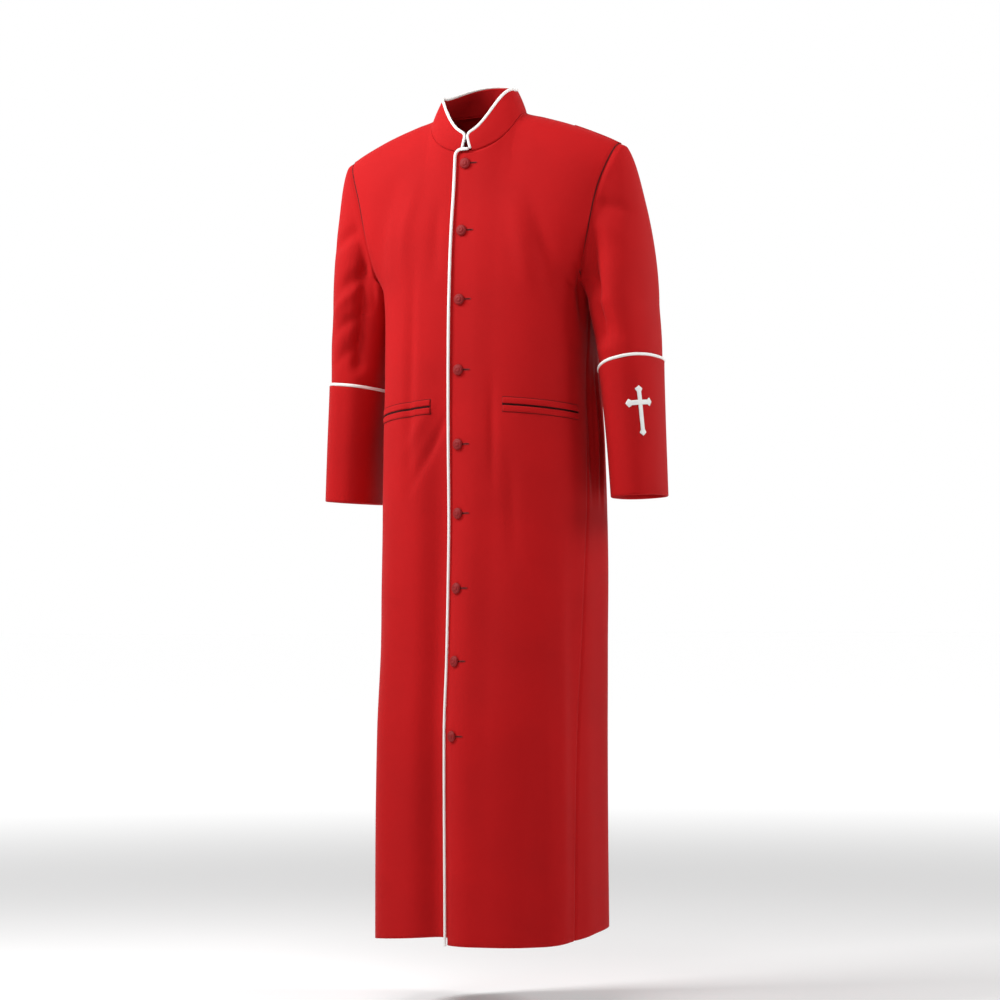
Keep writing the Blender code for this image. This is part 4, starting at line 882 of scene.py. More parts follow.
def sleeve_grid(table, mirror, armhole_parts, head_rows, tube_heights, angle):
    """Outer points of a sleeve. From the armhole to the underarm ring each line is a cubic
    curve that leaves along the body's surface and arrives along the tube; below that the
    tube's own rings follow."""
    point, face, into = armhole_parts
    start = point + SEAM_GAP * into
    end = sleeve_tube(table, UNDERARM, angle, mirror)
    top = ((1 + np.cos(angle)) / 2)[:, None]
    leave = HEAD_BOTTOM.start + (HEAD_TOP.start - HEAD_BOTTOM.start) * top
    arrive = HEAD_BOTTOM.end + (HEAD_TOP.end - HEAD_BOTTOM.end) * top
    up = unit(sleeve_tube(table, UNDERARM + 2 * TUBE_STEP, angle, mirror) - end)
    along_body = np.clip(3 * top, 0.0, 1.0)
    handle_a = start + leave * unit(along_body * into + (1 - along_body) * face)
    handle_b = end + arrive * up
    t = (np.linspace(0, 1, head_rows + 1) ** HEAD_GATHER)[:, None, None]
    head = ((1 - t) ** 3 * start + 3 * (1 - t) ** 2 * t * handle_a
            + 3 * (1 - t) * t * t * handle_b + t ** 3 * end)
    tube = sleeve_tube(table, tube_heights[:, None], angle[None, :], mirror)
    return np.concatenate([head, tube])


def outward_normals(points, middle):
    """Normals of a closed tube grid, turned away from its middle line."""
    normal = grid_normals(points, closed=True)
    away = points - middle
    row = len(points) - 1
    if np.sum(normal[row] * away[row]) < 0:
        normal = -normal
    return normal


def front_place(turn, height, mirror, outwards):
    """A point of the front and its normal, moved out from the cloth's outer face."""
    turn = np.asarray(turn, float)
    height = np.asarray(height, float)
    point = body_surface(turn, height, mirror)
    across = (body_surface(turn + NORMAL_TURN, height, mirror)
              - body_surface(turn - NORMAL_TURN, height, mirror))
    upwards = (body_surface(turn, height + NORMAL_RISE, mirror)
               - body_surface(turn, height - NORMAL_RISE, mirror))
    normal = unit(np.cross(across, upwards)) * mirror
    base = lap_lift(point[..., 0]) if mirror > 0 else np.zeros_like(turn)
    return point + (base + outwards)[..., None] * normal, normal


def run_along(points, axis):
    """Arc length along a grid's columns (axis 0) or rows (axis 1), from its first line."""
    step = np.linalg.norm(np.diff(points, axis=axis), axis=-1)
    first = [(1, 0), (0, 0)] if axis == 0 else [(0, 0), (1, 0)]
    return np.pad(np.cumsum(step, axis=axis), first)


def seam_roll(points, seams):
    """Depth by which cloth rolls in beside its sewn edges: most at the edge, then easing
    out over the roll's width."""
    up = run_along(points, 0)
    across = run_along(points, 1)
    beside = {"bottom": up, "top": up[-1:] - up, "start": across, "end": across[:, -1:] - across}
    nearest = np.minimum.reduce([beside[seam] for seam in seams])
    return SEAM_DIP * (1 - ease(nearest / SEAM_ROLL))


def tip_share(distance):
    """The share of a seam's dip that is kept this far from the shoulder's tip."""
    return SEAM_DIP_AT_TIP + (1 - SEAM_DIP_AT_TIP) * ease(distance / SEAM_TIP_REACH)


def weave_map(points, closed=False):
    """The cloth's own coordinates in metres: length along each row, and up each column."""
    wide = np.concatenate([points, points[:, :1]], axis=1) if closed else points
    return np.stack([run_along(wide, 1), run_along(wide, 0)], axis=-1)


def shell(outer, inner, closed=False):
    """Vertices, quads and weave coordinates of one layer of cloth between two grids. Its rim
    is rounded over a line midway between the faces that stands out by half the thickness."""
    uv = weave_map(outer, closed)
    rows, columns = outer.shape[:2]
    count = rows * columns
    index = np.arange(count).reshape(rows, columns)
    if closed:
        index = np.concatenate([index, index[:, :1]], axis=1)
    uv_index = np.arange(uv.shape[0] * uv.shape[1]).reshape(uv.shape[:2])
    inwards = np.sum(grid_normals(outer, closed) * (outer - inner)) < 0
    side = -1.0 if inwards else 1.0

    def quads(table):
        return np.stack([table[:-1, :-1], table[:-1, 1:], table[1:, 1:], table[1:, :-1]],
                        axis=-1).reshape(-1, 4)

    def around(table):
        return np.concatenate([table[0, :-1], table[:-1, -1], table[-1, :0:-1],
                               table[:0:-1, 0], table[0, :1]])

    faces = [quads(index), quads(index)[:, ::-1] + count]
    corners = [quads(uv_index), quads(uv_index)[:, ::-1]]
    points = [outer.reshape(-1, 3), inner.reshape(-1, 3)]
    if closed:
        loops = [(index[0], uv_index[0]), (index[-1, ::-1], uv_index[-1, ::-1])]
    else:
        loops = [(around(index), around(uv_index))]
    start = 2 * count
    for loop, uv_loop in loops:
        edge = loop[:-1]
        through = points[0][edge] - points[1][edge]
        ahead = np.roll(points[0][edge], -1, axis=0) - np.roll(points[0][edge], 1, axis=0)
        outwards = unit(np.cross(ahead, side * through))
        half = np.linalg.norm(through, axis=-1, keepdims=True) / 2
        points.append((points[0][edge] + points[1][edge]) / 2 + half * outwards)
        middle = start + np.append(np.arange(len(edge)), 0)
        start += len(edge)
        for near, far in ((loop, middle), (middle, loop + count)):
            faces.append(np.stack([near[1:], near[:-1], far[:-1], far[1:]], axis=-1))
            corners.append(np.stack([uv_loop[1:], uv_loop[:-1], uv_loop[:-1], uv_loop[1:]],
                                    axis=-1))
    faces = np.concatenate(faces)
    corners = np.concatenate(corners)
    if inwards:
        faces = faces[:, ::-1]
        corners = corners[:, ::-1]
    return np.concatenate(points), [faces], uv.reshape(-1, 2)[corners.reshape(-1)]


def ring_faces(rows, columns, closed_path):
    """Faces of rings joined in a row; open ends are closed with one face each."""
    index = np.arange(rows * columns).reshape(rows, columns)
    index = np.concatenate([index, index[:, :1]], axis=1)
    if closed_path:
        index = np.concatenate([index, index[:1]], axis=0)
    faces = [np.stack([index[:-1, :-1], index[1:, :-1], index[1:, 1:], index[:-1, 1:]],
                      axis=-1).reshape(-1, 4)]
    if not closed_path:
        faces += [index[:1, :-1], index[-1:, :-1][:, ::-1]]
    return faces


def cord(path, normals, half_across, half_up, closed=False):
    """An oval cord carried along a path. Each ring stands square to the path: its up is the
    cloth's normal, its across lies in the cloth. Open ends are rounded off."""
    if closed:
        along = unit(np.roll(path, -1, axis=0) - np.roll(path, 1, axis=0))
        size = np.ones(len(path))
    else:
        along = unit(np.gradient(path, axis=0))
        cap = np.sin(np.radians(np.array(CORD_CAP)))
        back = half_up * (1 - np.sqrt(1 - (1 - cap) ** 2))
        path = np.concatenate([path[:1] - along[:1] * (half_up - back)[:, None], path,
                               path[-1:] + along[-1:] * (half_up - back)[::-1, None]])
        size = np.concatenate([cap, np.ones(len(along)), cap[::-1]])
        normals = np.pad(normals, ((len(cap), len(cap)), (0, 0)), mode="edge")
        along = np.pad(along, ((len(cap), len(cap)), (0, 0)), mode="edge")
    up = unit(normals - along * np.sum(normals * along, axis=-1, keepdims=True))
    across = np.cross(along, up)
    turn = np.linspace(0, 2 * np.pi, CORD_SIDES, endpoint=False)
    ring = (half_up * up[:, None] * np.cos(turn)[None, :, None]
            + half_across * across[:, None] * np.sin(turn)[None, :, None])
    points = path[:, None] + size[:, None, None] * ring
    return points.reshape(-1, 3), ring_faces(len(path), CORD_SIDES, closed), None


def ring_angles():
    """Angles of the sleeve's columns: round from the tip over the front, as on the armhole."""
    down = np.pi * (1 - YOKE_SHARES[::-1])
    whole = np.concatenate([down, 2 * np.pi - down[-2:0:-1], [2 * np.pi]])
    return np.stack([whole[:-1], (whole[:-1] + whole[1:]) / 2], axis=-1).reshape(-1)


def work_out_body():
    """Outer and inner points of both fronts, the back and the collar, and the armholes."""
    left, right, back, normals, neck_end, half = panels()
    left = left + lap_lift(left[..., 0])[..., None] * normals["left"]
    seams = {"left": ("top", "end"), "right": ("top", "end"), "back": ("top", "start", "end")}
    shapes = {}
    for name, points in (("left", left), ("right", right), ("back", back)):
        tip_near = np.linalg.norm(points - points[-1, -1], axis=-1)
        if name == "back":
            tip_near = np.minimum(tip_near, np.linalg.norm(points - points[-1, 0], axis=-1))
        dip = tip_share(tip_near) * seam_roll(points, seams[name])
        outer = points - dip[..., None] * normals[name]
        shapes[name] = (outer, outer - CLOTH * normals[name])
    skirt = slice(0, ROWS_SKIRT + 1)
    shoulder = slice(neck_end, None)
    left_shoulder = slice(half + COLUMNS_BACK_NECK, None)
    right_shoulder = slice(0, half + 1 - COLUMNS_BACK_NECK)
    edges = {"left": (((skirt, -1), (skirt, -2)), ((-1, shoulder), (-2, shoulder))),
             "right": (((skirt, -1), (skirt, -2)), ((-1, shoulder), (-2, shoulder))),
             "back": (((skirt, -1), (skirt, -2)), ((skirt, 0), (skirt, 1)),
                      ((-1, left_shoulder), (-2, left_shoulder)),
                      ((-1, right_shoulder), (-2, right_shoulder)))}
    for name, (outer, inner) in shapes.items():
        for line, inside in edges[name]:
            shift = SEAM_GAP / 2 * unit(outer[inside] - outer[line])
            outer[line] += shift
            inner[line] += shift
    arm = slice(ROWS_SKIRT, None)
    armholes = {
        "left": armhole_ring(left[arm, -1], back[arm, -1], normals["left"][arm, -1],
                             normals["back"][arm, -1], 1),
        "right": armhole_ring(right[arm, -1], back[arm, 0], normals["right"][arm, -1],
                              normals["back"][arm, 0], -1)}
    right_half = collar_half(neck_edge(right, back, -1), -1, COLLAR_ROWS)
    left_half = collar_half(neck_edge(left, back, 1), 1, COLLAR_ROWS)
    collar = np.concatenate([right_half[:, :0:-1], left_half], axis=1)
    normal = grid_normals(collar)
    normal = level(normal * np.sign(normal[0, normal.shape[1] // 2, 1]))
    shapes["collar"] = (collar, collar - BAND_WALL * normal)
    return {"shapes": shapes, "normals": normals, "left": left, "armholes": armholes,
            "collar_normal": normal}


def work_out_sleeve(side_name, mirror, armhole_parts):
    """Outer and inner points of a sleeve and of its cuff."""
    table = SLEEVE_LEFT if mirror > 0 else SLEEVE_RIGHT
    top = CUFF_TOP[side_name]
    upper = np.linspace(UNDERARM, top, SLEEVE_TUBE_ROWS + 1)
    lower = np.linspace(top, CUFF_HEM + SLEEVE_HEM_INSIDE_CUFF, CUFF_ROWS // 2 + 1)
    angle = ring_angles()
    outer = sleeve_grid(table, mirror, armhole_parts, SLEEVE_HEAD_ROWS,
                        np.concatenate([upper[1:], lower[1:]]), angle)
    normal = outward_normals(outer, outer.mean(axis=1, keepdims=True))
    normal[0] = armhole_parts[1]
    fade = ease((outer[..., 2] - top - CUFF_CREASE_FADE / 2) / CUFF_CREASE_FADE)
    run = run_along(outer, 0)
    near_head = ease(run / SLEEVE_CREASE_START)
    push = fade * near_head * crease_depth(SLEEVE_CREASES[side_name], np.degrees(angle),
                                           outer[..., 2], SLEEVE_METRES_PER_DEGREE)
    crown = ((1 + np.cos(angle)) / 2) ** 2
    puff = HEAD_PUFF * ease(run / HEAD_PUFF_START) * (1 - ease(run / HEAD_PUFF_END))
    push = push + crown * puff
    tip_near = np.linalg.norm(armhole_parts[0] - armhole_parts[0][0], axis=-1)
    push = push - tip_share(tip_near) * seam_roll(outer, ("bottom",))
    outer = outer + push[..., None] * normal
    sleeve = (outer, outer - CLOTH * normal)

    heights = np.linspace(top, CUFF_HEM, CUFF_ROWS + 1)
    dips = np.linspace(CUFF_TOP_DIP[side_name], 0.0, CUFF_ROWS + 1)
    cuff = sleeve_tube(table, heights[:, None], angle[None, :], mirror, SEAM_GAP + BAND_WALL,
                       dips[:, None])
    normal = outward_normals(cuff, cuff.mean(axis=1, keepdims=True))
    return sleeve, (cuff, cuff - BAND_WALL * normal)


def armhole_shade_form(side_name):
    """Painted shade in an armhole's seam: a fine dark cord in the ditch between the panels and
    the sleeve, following the armhole all round, that stands in for the shade there."""
    point, face, _ = forms()["armholes"][side_name]
    tip = tip_share(np.linalg.norm(point - point[0], axis=-1))
    path = point - (tip * SEAM_DIP)[:, None] * face
    return cord(path, face, SEAM_SHADE_CORD, SEAM_SHADE_CORD, closed=True)


def work_out_forms():
    """Every grid that more than one piece is laid on."""
    known = work_out_body()
    for side_name, mirror in (("left", 1), ("right", -1)):
        sleeve, cuff = work_out_sleeve(side_name, mirror, known["armholes"][side_name])
        known["shapes"]["sleeve_" + side_name] = sleeve
        known["shapes"]["cuff_" + side_name] = cuff
    return known


FORMS = {}


def forms():
    """The robe's grids, worked out the first time that they are asked for."""
    if not FORMS:
        FORMS.update(work_out_forms())
    return FORMS


def linear(colour):
    """An sRGB hex colour as linear red, green, blue and full opacity."""
    share = np.array([int(colour[i:i + 2], 16) for i in (1, 3, 5)]) / 255
    low = share / 12.92
    high = ((share + 0.055) / 1.055) ** 2.4
    return tuple(float(c) for c in np.where(share <= 0.04045, low, high)) + (1.0,)


def add(tree, kind, settings=None, inputs=None):
    """Add a shader node, set its settings by name, and set or link its inputs by name."""
    node = tree.nodes.new(kind)
    for name, value in (settings or {}).items():
        setattr(node, name, value)
    for name, value in (inputs or {}).items():
        if isinstance(value, bpy.types.NodeSocket):
            tree.links.new(value, node.inputs[name])
        else:
            node.inputs[name].default_value = value
    return node


def new_material(name):
    """A cleared material, and its node tree."""
    material = bpy.data.materials.new(name)
    material.use_nodes = True
    material.node_tree.nodes.clear()
    return material, material.node_tree


def finish_material(tree, shader):
    """Link the shader to the material's output."""
    add(tree, "ShaderNodeOutputMaterial", inputs={"Surface": shader.outputs["BSDF"]})


def shaded(colour, factor):
    """A linear colour made lighter or darker, opacity kept."""
    return tuple(min(1.0, c * factor) for c in colour[:3]) + (1.0,)


def gabardine(name, colour):
    """Polyester gabardine, worsted-spun and piece-dyed: a steep fine twill rib that catches
    the light softly, an almost matt face and faint unevenness from dyeing and pressing."""
    material, tree = new_material(name)
    weave = add(tree, "ShaderNodeUVMap", {"uv_map": "weave"})
    turned = add(tree, "ShaderNodeMapping", inputs={
        "Vector": weave.outputs["UV"], "Rotation": (0.0, 0.0, math.radians(TWILL_ANGLE))})
    rib = add(tree, "ShaderNodeTexWave", {"bands_direction": "X"}, {
        "Vector": turned.outputs["Vector"], "Scale": WAVE_PERIOD / TWILL_SPACING,
        "Distortion": 0.4, "Detail": 1.0})
    place = add(tree, "ShaderNodeTexCoord")
    yarn = add(tree, "ShaderNodeTexNoise", inputs={
        "Vector": place.outputs["Object"], "Scale": 1 / YARN_SIZE, "Detail": 2.0})
    patch = add(tree, "ShaderNodeTexNoise", inputs={
        "Vector": place.outputs["Object"], "Scale": 1 / DYE_PATCH, "Detail": 2.0})
    ribbed = add(tree, "ShaderNodeMix", {"data_type": "RGBA"}, {
        "Factor": rib.outputs["Fac"], "A": shaded(colour, 0.86), "B": shaded(colour, 1.10)})
    tone = add(tree, "ShaderNodeMapRange", inputs={
        "Value": patch.outputs["Fac"], "From Min": 0.3, "From Max": 0.7,
        "To Min": 0.95, "To Max": 1.05})
    slub = add(tree, "ShaderNodeMapRange", inputs={
        "Value": yarn.outputs["Fac"], "To Min": 0.93, "To Max": 1.07})
    both = add(tree, "ShaderNodeMath", {"operation": "MULTIPLY"})
    tree.links.new(tone.outputs["Result"], both.inputs[0])
    tree.links.new(slub.outputs["Result"], both.inputs[1])
    dyed = add(tree, "ShaderNodeVectorMath", {"operation": "SCALE"}, {
        "Vector": ribbed.outputs["Result"], "Scale": both.outputs["Value"]})
    bump = add(tree, "ShaderNodeBump", inputs={
        "Strength": 0.35, "Distance": TWILL_SPACING / 4, "Height": rib.outputs["Fac"]})
    shader = add(tree, "ShaderNodeBsdfPrincipled", inputs={
        "Base Color": dyed.outputs["Vector"], "Roughness": 0.75, "Specular IOR Level": 0.10,
        "Sheen Weight": 0.02, "Sheen Roughness": 0.5, "Normal": bump.outputs["Normal"]})
    finish_material(tree, shader)
    return material


def satin(name, colour, roughness, stitch):
    """Polyester satin or satin stitch: smooth floats side by side, each a faint ridge across
    the strip, with a soft broad shine."""
    material, tree = new_material(name)
    place = add(tree, "ShaderNodeTexCoord")
    floats = add(tree, "ShaderNodeTexWave", {"bands_direction": "DIAGONAL"}, {
        "Vector": place.outputs["Object"], "Scale": WAVE_PERIOD / stitch, "Distortion": 0.6,
        "Detail": 1.0})
    tint = add(tree, "ShaderNodeMix", {"data_type": "RGBA"}, {
        "Factor": floats.outputs["Fac"], "A": shaded(colour, 0.85), "B": colour})
    bump = add(tree, "ShaderNodeBump", inputs={
        "Strength": 0.4, "Distance": stitch / 4, "Height": floats.outputs["Fac"]})
    shader = add(tree, "ShaderNodeBsdfPrincipled", inputs={
        "Base Color": tint.outputs["Result"], "Roughness": roughness,
        "Specular IOR Level": 0.30, "Normal": bump.outputs["Normal"]})
    finish_material(tree, shader)
    return material


def plain_floor(name, colour):
    """Seamless studio vinyl: matt, with a very faint mottling. Far from the robe it glows
    like the white wall that it runs into."""
    material, tree = new_material(name)
    place = add(tree, "ShaderNodeTexCoord")
    away = add(tree, "ShaderNodeVectorMath", {"operation": "LENGTH"}, {
        0: place.outputs["Object"]})
    glow = add(tree, "ShaderNodeMapRange", {"interpolation_type": "SMOOTHSTEP"}, {
        "Value": away.outputs["Value"], "From Min": 2.0, "From Max": 6.0, "To Min": 0.12,
        "To Max": 0.80})
    mottle = add(tree, "ShaderNodeTexNoise", inputs={
        "Vector": place.outputs["Object"], "Scale": 3.0, "Detail": 2.0})
    tint = add(tree, "ShaderNodeMix", {"data_type": "RGBA"}, {
        "Factor": mottle.outputs["Fac"], "A": shaded(colour, 0.98), "B": colour})
    shader = add(tree, "ShaderNodeBsdfPrincipled", inputs={
        "Base Color": tint.outputs["Result"], "Roughness": 0.9, "Specular IOR Level": 0.0,
        "Emission Color": (1.0, 1.0, 1.0, 1.0), "Emission Strength": glow.outputs["Result"]})
    finish_material(tree, shader)
    return material


def add_piece(name, form, material, slot_name=None, nodes=()):
    """Make a mesh object of points, face arrays and weave coordinates, shaded smooth. Parent it to
    the robe's body when it is given a slot name, and hide the CAD nodes that it stands for."""
    points, faces, uv = form
    mesh = bpy.data.meshes.new(name)
    mesh.from_pydata(points.tolist(), [], sum((block.tolist() for block in faces), []))
    if uv is not None:
        layer = mesh.uv_layers.new(name="weave")
        layer.data.foreach_set("uv", uv.astype(np.float32).reshape(-1))
    mesh.polygons.foreach_set("use_smooth", np.ones(len(mesh.polygons), bool))
    mesh.materials.append(material)
    mesh.update()
    piece = bpy.data.objects.new(name, mesh)
    bpy.context.scene.collection.objects.link(piece)
    if slot_name:
        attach(piece, BODY)
    if nodes:
        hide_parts(*nodes)
    return piece


def join_forms(parts):
    """Several forms as one, their points and faces one after the other."""
    points = np.concatenate([part[0] for part in parts])
    starts = np.cumsum([0] + [len(part[0]) for part in parts[:-1]])
    faces = [block + start for part, start in zip(parts, starts) for block in part[1]]
    uv = None if parts[0][2] is None else np.concatenate([part[2] for part in parts])
    return points, faces, uv


def button_form(height, line, line_normals, radius):
    """A domed covered button: a profile turned round the cloth's normal. Its crown has a
    pressed ring and a small hollow at the centre."""
    seat = np.array([np.interp(height, line[:, 2], line[:, k]) for k in range(3)])
    normal = unit(np.array([np.interp(height, line[:, 2], line_normals[:, k])
                            for k in range(3)]))
    seat = seat + REST_GAP * normal
    side = unit(np.cross(np.array([0.0, 0.0, 1.0]), normal))
    up = np.cross(normal, side)
    share = np.sin(np.linspace(np.pi / 2, 0.0, BUTTON_RINGS))[:-1]
    crown = BUTTON_RIM + BUTTON_CROWN * (1 - share ** 2) ** BUTTON_ROUNDNESS
    groove = np.exp(-((share - BUTTON_GROOVE_AT) / BUTTON_GROOVE_WIDTH) ** 2)
    crown = crown - BUTTON_GROOVE * groove
    crown = crown - BUTTON_HOLLOW * np.exp(-(share / BUTTON_HOLLOW_WIDTH) ** 2)
    share = np.concatenate([BUTTON_FOOT, share, [BUTTON_MIDDLE]])
    rise = np.concatenate([BUTTON_FOOT_RISE, crown, crown[-1:]])
    turn = np.linspace(0, 2 * np.pi, BUTTON_SIDES, endpoint=False)
    ring = np.cos(turn)[:, None] * side + np.sin(turn)[:, None] * up
    points = (seat + radius * share[:, None, None] * ring[None] + rise[:, None, None] * normal)
    faces = [block[:, ::-1] for block in ring_faces(len(share), BUTTON_SIDES, False)]
    return points.reshape(-1, 3), faces, None


def buttonhole_form(height):
    """The stitched edge of a buttonhole: a low cord round a long slit in the left front,
    from under the button out towards the wearer's left."""
    turn = np.linspace(0, 2 * np.pi, BUTTONHOLE_POINTS, endpoint=False)
    half = (BUTTONHOLE_END - BUTTONHOLE_START) / 2
    x = BUTTONHOLE_START + half + half * np.cos(turn)
    z = height + BUTTONHOLE_HALF_HEIGHT * powered(np.sin(turn), BUTTONHOLE_ROUNDNESS)
    path, normal = front_place(turn_at_side(x, z), z, 1, BUTTONHOLE_CORD / 2)
    return cord(path, normal, BUTTONHOLE_CORD, BUTTONHOLE_CORD, closed=True)


def slit_form(height):
    """Painted shade inside a buttonhole: a narrow pointed dark strip along its slit."""
    share = np.linspace(-1.0, 1.0, BUTTON_SLIT_COLUMNS)[None, :]
    half = (BUTTONHOLE_END - BUTTONHOLE_START) / 2
    x = BUTTONHOLE_START + half * (1 + share)
    width = BUTTONHOLE_HALF_HEIGHT * np.sqrt(1 - BUTTON_SLIT_POINT * share ** 2)
    z = height + width * np.linspace(-1.0, 1.0, SLIT_ROWS)[:, None]
    x = np.broadcast_to(x, z.shape)
    under, normal = front_place(turn_at_side(x, z), z, 1, SLIT_LIFT)
    return shell(under + SLIT_THICKNESS * normal, under)


def pocket_strip(ends, low, high, across, rows):
    """A strip along a pocket's slit on the front: turn and height of its grid. Low and high
    are its edges' heights above the slit's line."""
    inner_end, outer_end = ends
    along = np.linspace(0, 1, across)[None, :]
    up = np.linspace(0, 1, rows)[:, None]
    turn = inner_end.turn + (outer_end.turn - inner_end.turn) * along
    line = inner_end.height + (outer_end.height - inner_end.height) * along
    height = line + low + (high - low) * up
    return np.broadcast_to(turn, height.shape), height


def welt_form(ends, mirror, way):
    """One welt of a pocket: a folded strip, round at the slit and sunk at its seam."""
    edges = sorted((way * (WELT_GAP / 2 + WELT_PARTING), way * (WELT_GAP / 2 + WELT_WIDTH)))
    turn, height = pocket_strip(ends, edges[0], edges[1], WELT_COLUMNS, WELT_ROWS)
    share = np.linspace(0, 1, WELT_ROWS)[:, None]
    from_slit = share if way > 0 else 1 - share
    up_roll = np.clip(from_slit / WELT_ROLL, 0, 1)
    roll = np.sqrt(np.clip(1 - (1 - up_roll) ** 2, 0, 1))
    sink = 1 - WELT_FULLNESS * ease((from_slit - WELT_SINK_AT) / (1 - WELT_SINK_AT))
    lift = WELT_THICKNESS * (1 - WELT_FULLNESS + WELT_FULLNESS * roll * sink)
    under, normal = front_place(turn, height, mirror, REST_GAP)
    return shell(under + lift[..., None] * normal, under)


def slit_shade_form(ends, mirror):
    """Painted shade in a pocket's slit: a dark strip that stands in for the shade in the opening.
    """
    reach = SLIT_SHADE_REACH * (WELT_GAP / 2 + WELT_PARTING)
    turn, height = pocket_strip(ends, -reach, reach, SLIT_COLUMNS, SLIT_ROWS)
    under, normal = front_place(turn, height, mirror, SLIT_LIFT)
    return shell(under + SLIT_THICKNESS * normal, under)


def pocket_shade_form(ends, mirror):
    """Painted shade round a pocket: a thin dark cord along its four sides, just clear of them,
    that stands in for the shade at the welts' edges.
    """
    reach = WELT_GAP / 2 + WELT_WIDTH + POCKET_SHADE_CLEAR
    inner_end, outer_end = ends
    side = POCKET_SHADE_CLEAR / METRES_PER_DEGREE
    corner_turn = np.array([inner_end.turn - side, outer_end.turn + side,
                            outer_end.turn + side, inner_end.turn - side])
    corner_up = np.array([reach, reach, -reach, -reach])
    corner_base = np.array([inner_end.height, outer_end.height, outer_end.height,
                            inner_end.height])
    where = np.arange(0, 4, 4 / POCKET_SHADE_POINTS)
    knots = np.arange(5)
    turn = np.interp(where, knots, np.append(corner_turn, corner_turn[0]))
    height = np.interp(where, knots, np.append(corner_base + corner_up,
                                               corner_base[0] + corner_up[0]))
    path, normal = front_place(turn, height, mirror, POCKET_SHADE_CORD)
    return cord(path, normal, POCKET_SHADE_CORD, POCKET_SHADE_CORD, closed=True)


def cuff_place(table, mirror, side, height, outwards):
    """A point of the cuff's outer face and its normal, this far round from the cross's middle
    line, by the length round the cuff at the height of the crossing."""
    face = SEAM_GAP + BAND_WALL
    dense = np.radians(np.linspace(CROSS_AROUND - CROSS_SEARCH, CROSS_AROUND + CROSS_SEARCH,
                                   2 * CROSS_SEARCH_STEPS + 1))
    ring = sleeve_tube(table, CROSS_CROSSING, dense, mirror, face)
    walk = np.append(0.0, np.cumsum(np.linalg.norm(np.diff(ring, axis=0), axis=1)))
    angle = np.interp(walk[CROSS_SEARCH_STEPS] - side, walk, dense)
    z = CROSS_CROSSING + height
    here = sleeve_tube(table, z, angle, mirror, face)
    across = sleeve_tube(table, z, angle + CUFF_NORMAL_TURN, mirror, face) - here
    upwards = sleeve_tube(table, z + CUFF_NORMAL_RISE, angle, mirror, face) - here
    normal = -unit(np.cross(across, upwards)) * mirror
    return here + np.asarray(outwards)[..., None] * normal


def cross_bar_form(table, mirror, low, high, upright, lift):
    """One bar of the cross: a raised strip, straight and then opened into a pointed tip at
    each free end. Its crown is rounded across."""
    t = np.linspace(0, 1, CROSS_ROWS)[:, None]
    place = low + (high - low) * t
    from_end = np.minimum(place - low, high - place)
    half_tip = CROSS_TIP_LENGTH / 2
    width = np.interp(from_end[:, 0], [0.0, half_tip, CROSS_TIP_LENGTH],
                      [CROSS_POINT, CROSS_TIP_WIDTH / 2, CROSS_ARM_WIDTH / 2])[:, None]
    v = np.linspace(-1, 1, CROSS_COLUMNS)[None, :]
    over = width * v
    flat = np.broadcast_to(place, over.shape)
    side, up = (over, flat) if upright else (flat, over)
    tilt = math.radians(CROSS_TILT)
    x = side * math.cos(tilt) - up * math.sin(tilt)
    y = side * math.sin(tilt) + up * math.cos(tilt)
    swell = np.sqrt(1 - CROSS_ROUNDNESS * v ** 2)
    crown = CROSS_THICKNESS * (CROSS_EDGE + (1 - CROSS_EDGE) * swell) + lift
    crown = np.broadcast_to(crown, over.shape)
    under = cuff_place(table, mirror, x, y, REST_GAP)
    return shell(cuff_place(table, mirror, x, y, REST_GAP + crown), under)


def colour_value(name, description, colour):
    """A colour that the sidebar shows, its default an sRGB hex colour."""
    return bpy.props.FloatVectorProperty(name=name, description=description, subtype="COLOR",
                                         size=3, min=0.0, max=1.0,
                                         default=linear(colour)[:3])


class RobeCloth(bpy.types.PropertyGroup):
    """Colours of the robe's cloth and of the painted shade in its slits."""

    colour: colour_value("Cloth", "Colour of the gabardine", "#B00F12")
    # The near-black red of the strips of painted shade in the pockets' and buttonholes' slits
    lining: colour_value("Painted slit shade", "Colour of the painted shade in slits", "#2A0406")


class RobeTrim(bpy.types.PropertyGroup):
    """Sizes and colours of what is sewn on the cloth."""

    piping_colour: colour_value("Piping", "Colour of the satin piping", "#F4F3F0")
    piping_width: bpy.props.FloatProperty(
        name="Piping width", description="Visible width of the piping", unit="LENGTH",
        min=0.003, max=0.008, default=0.0052)
    button_size: bpy.props.FloatProperty(
        name="Button size", description="Diameter of a covered button", unit="LENGTH",
        min=0.012, max=0.024, default=2 * BUTTON_RADIUS)
    embroidery_colour: colour_value("Embroidery", "Colour of the cross", "#EDEDEB")


class RobeStage(bpy.types.PropertyGroup):
    """The floor, the lights and the camera."""

    floor_colour: colour_value("Floor", "Colour of the studio floor", "#F4F4F4")
    view_angle: bpy.props.FloatProperty(
        name="View angle", description="The camera's angle round the robe from its front",
        subtype="ANGLE", default=math.radians(24.0))
    distance: bpy.props.FloatProperty(
        name="Distance", description="From the camera to the robe's middle", unit="LENGTH",
        min=2.0, max=12.0, default=5.0)


def opaque(colour):
    """A property's colour with full opacity."""
    return tuple(colour) + (1.0,)


def cloth_material():
    """The red gabardine, made once and shared by every panel."""
    known = bpy.data.materials.get("red_polyester_gabardine")
    return known or gabardine("red_polyester_gabardine",
                              opaque(bpy.context.scene.robe_cloth.colour))


def piping_material():
    """The white satin of the piping, made once."""
    known = bpy.data.materials.get("white_satin_bias_piping")
    return known or satin("white_satin_bias_piping",
                          opaque(bpy.context.scene.robe_trim.piping_colour), 0.45, 0.0009)


def add_sheet(node, form):
    piece = add_piece("robe_" + node, form, cloth_material(), "red_cloth", [node])


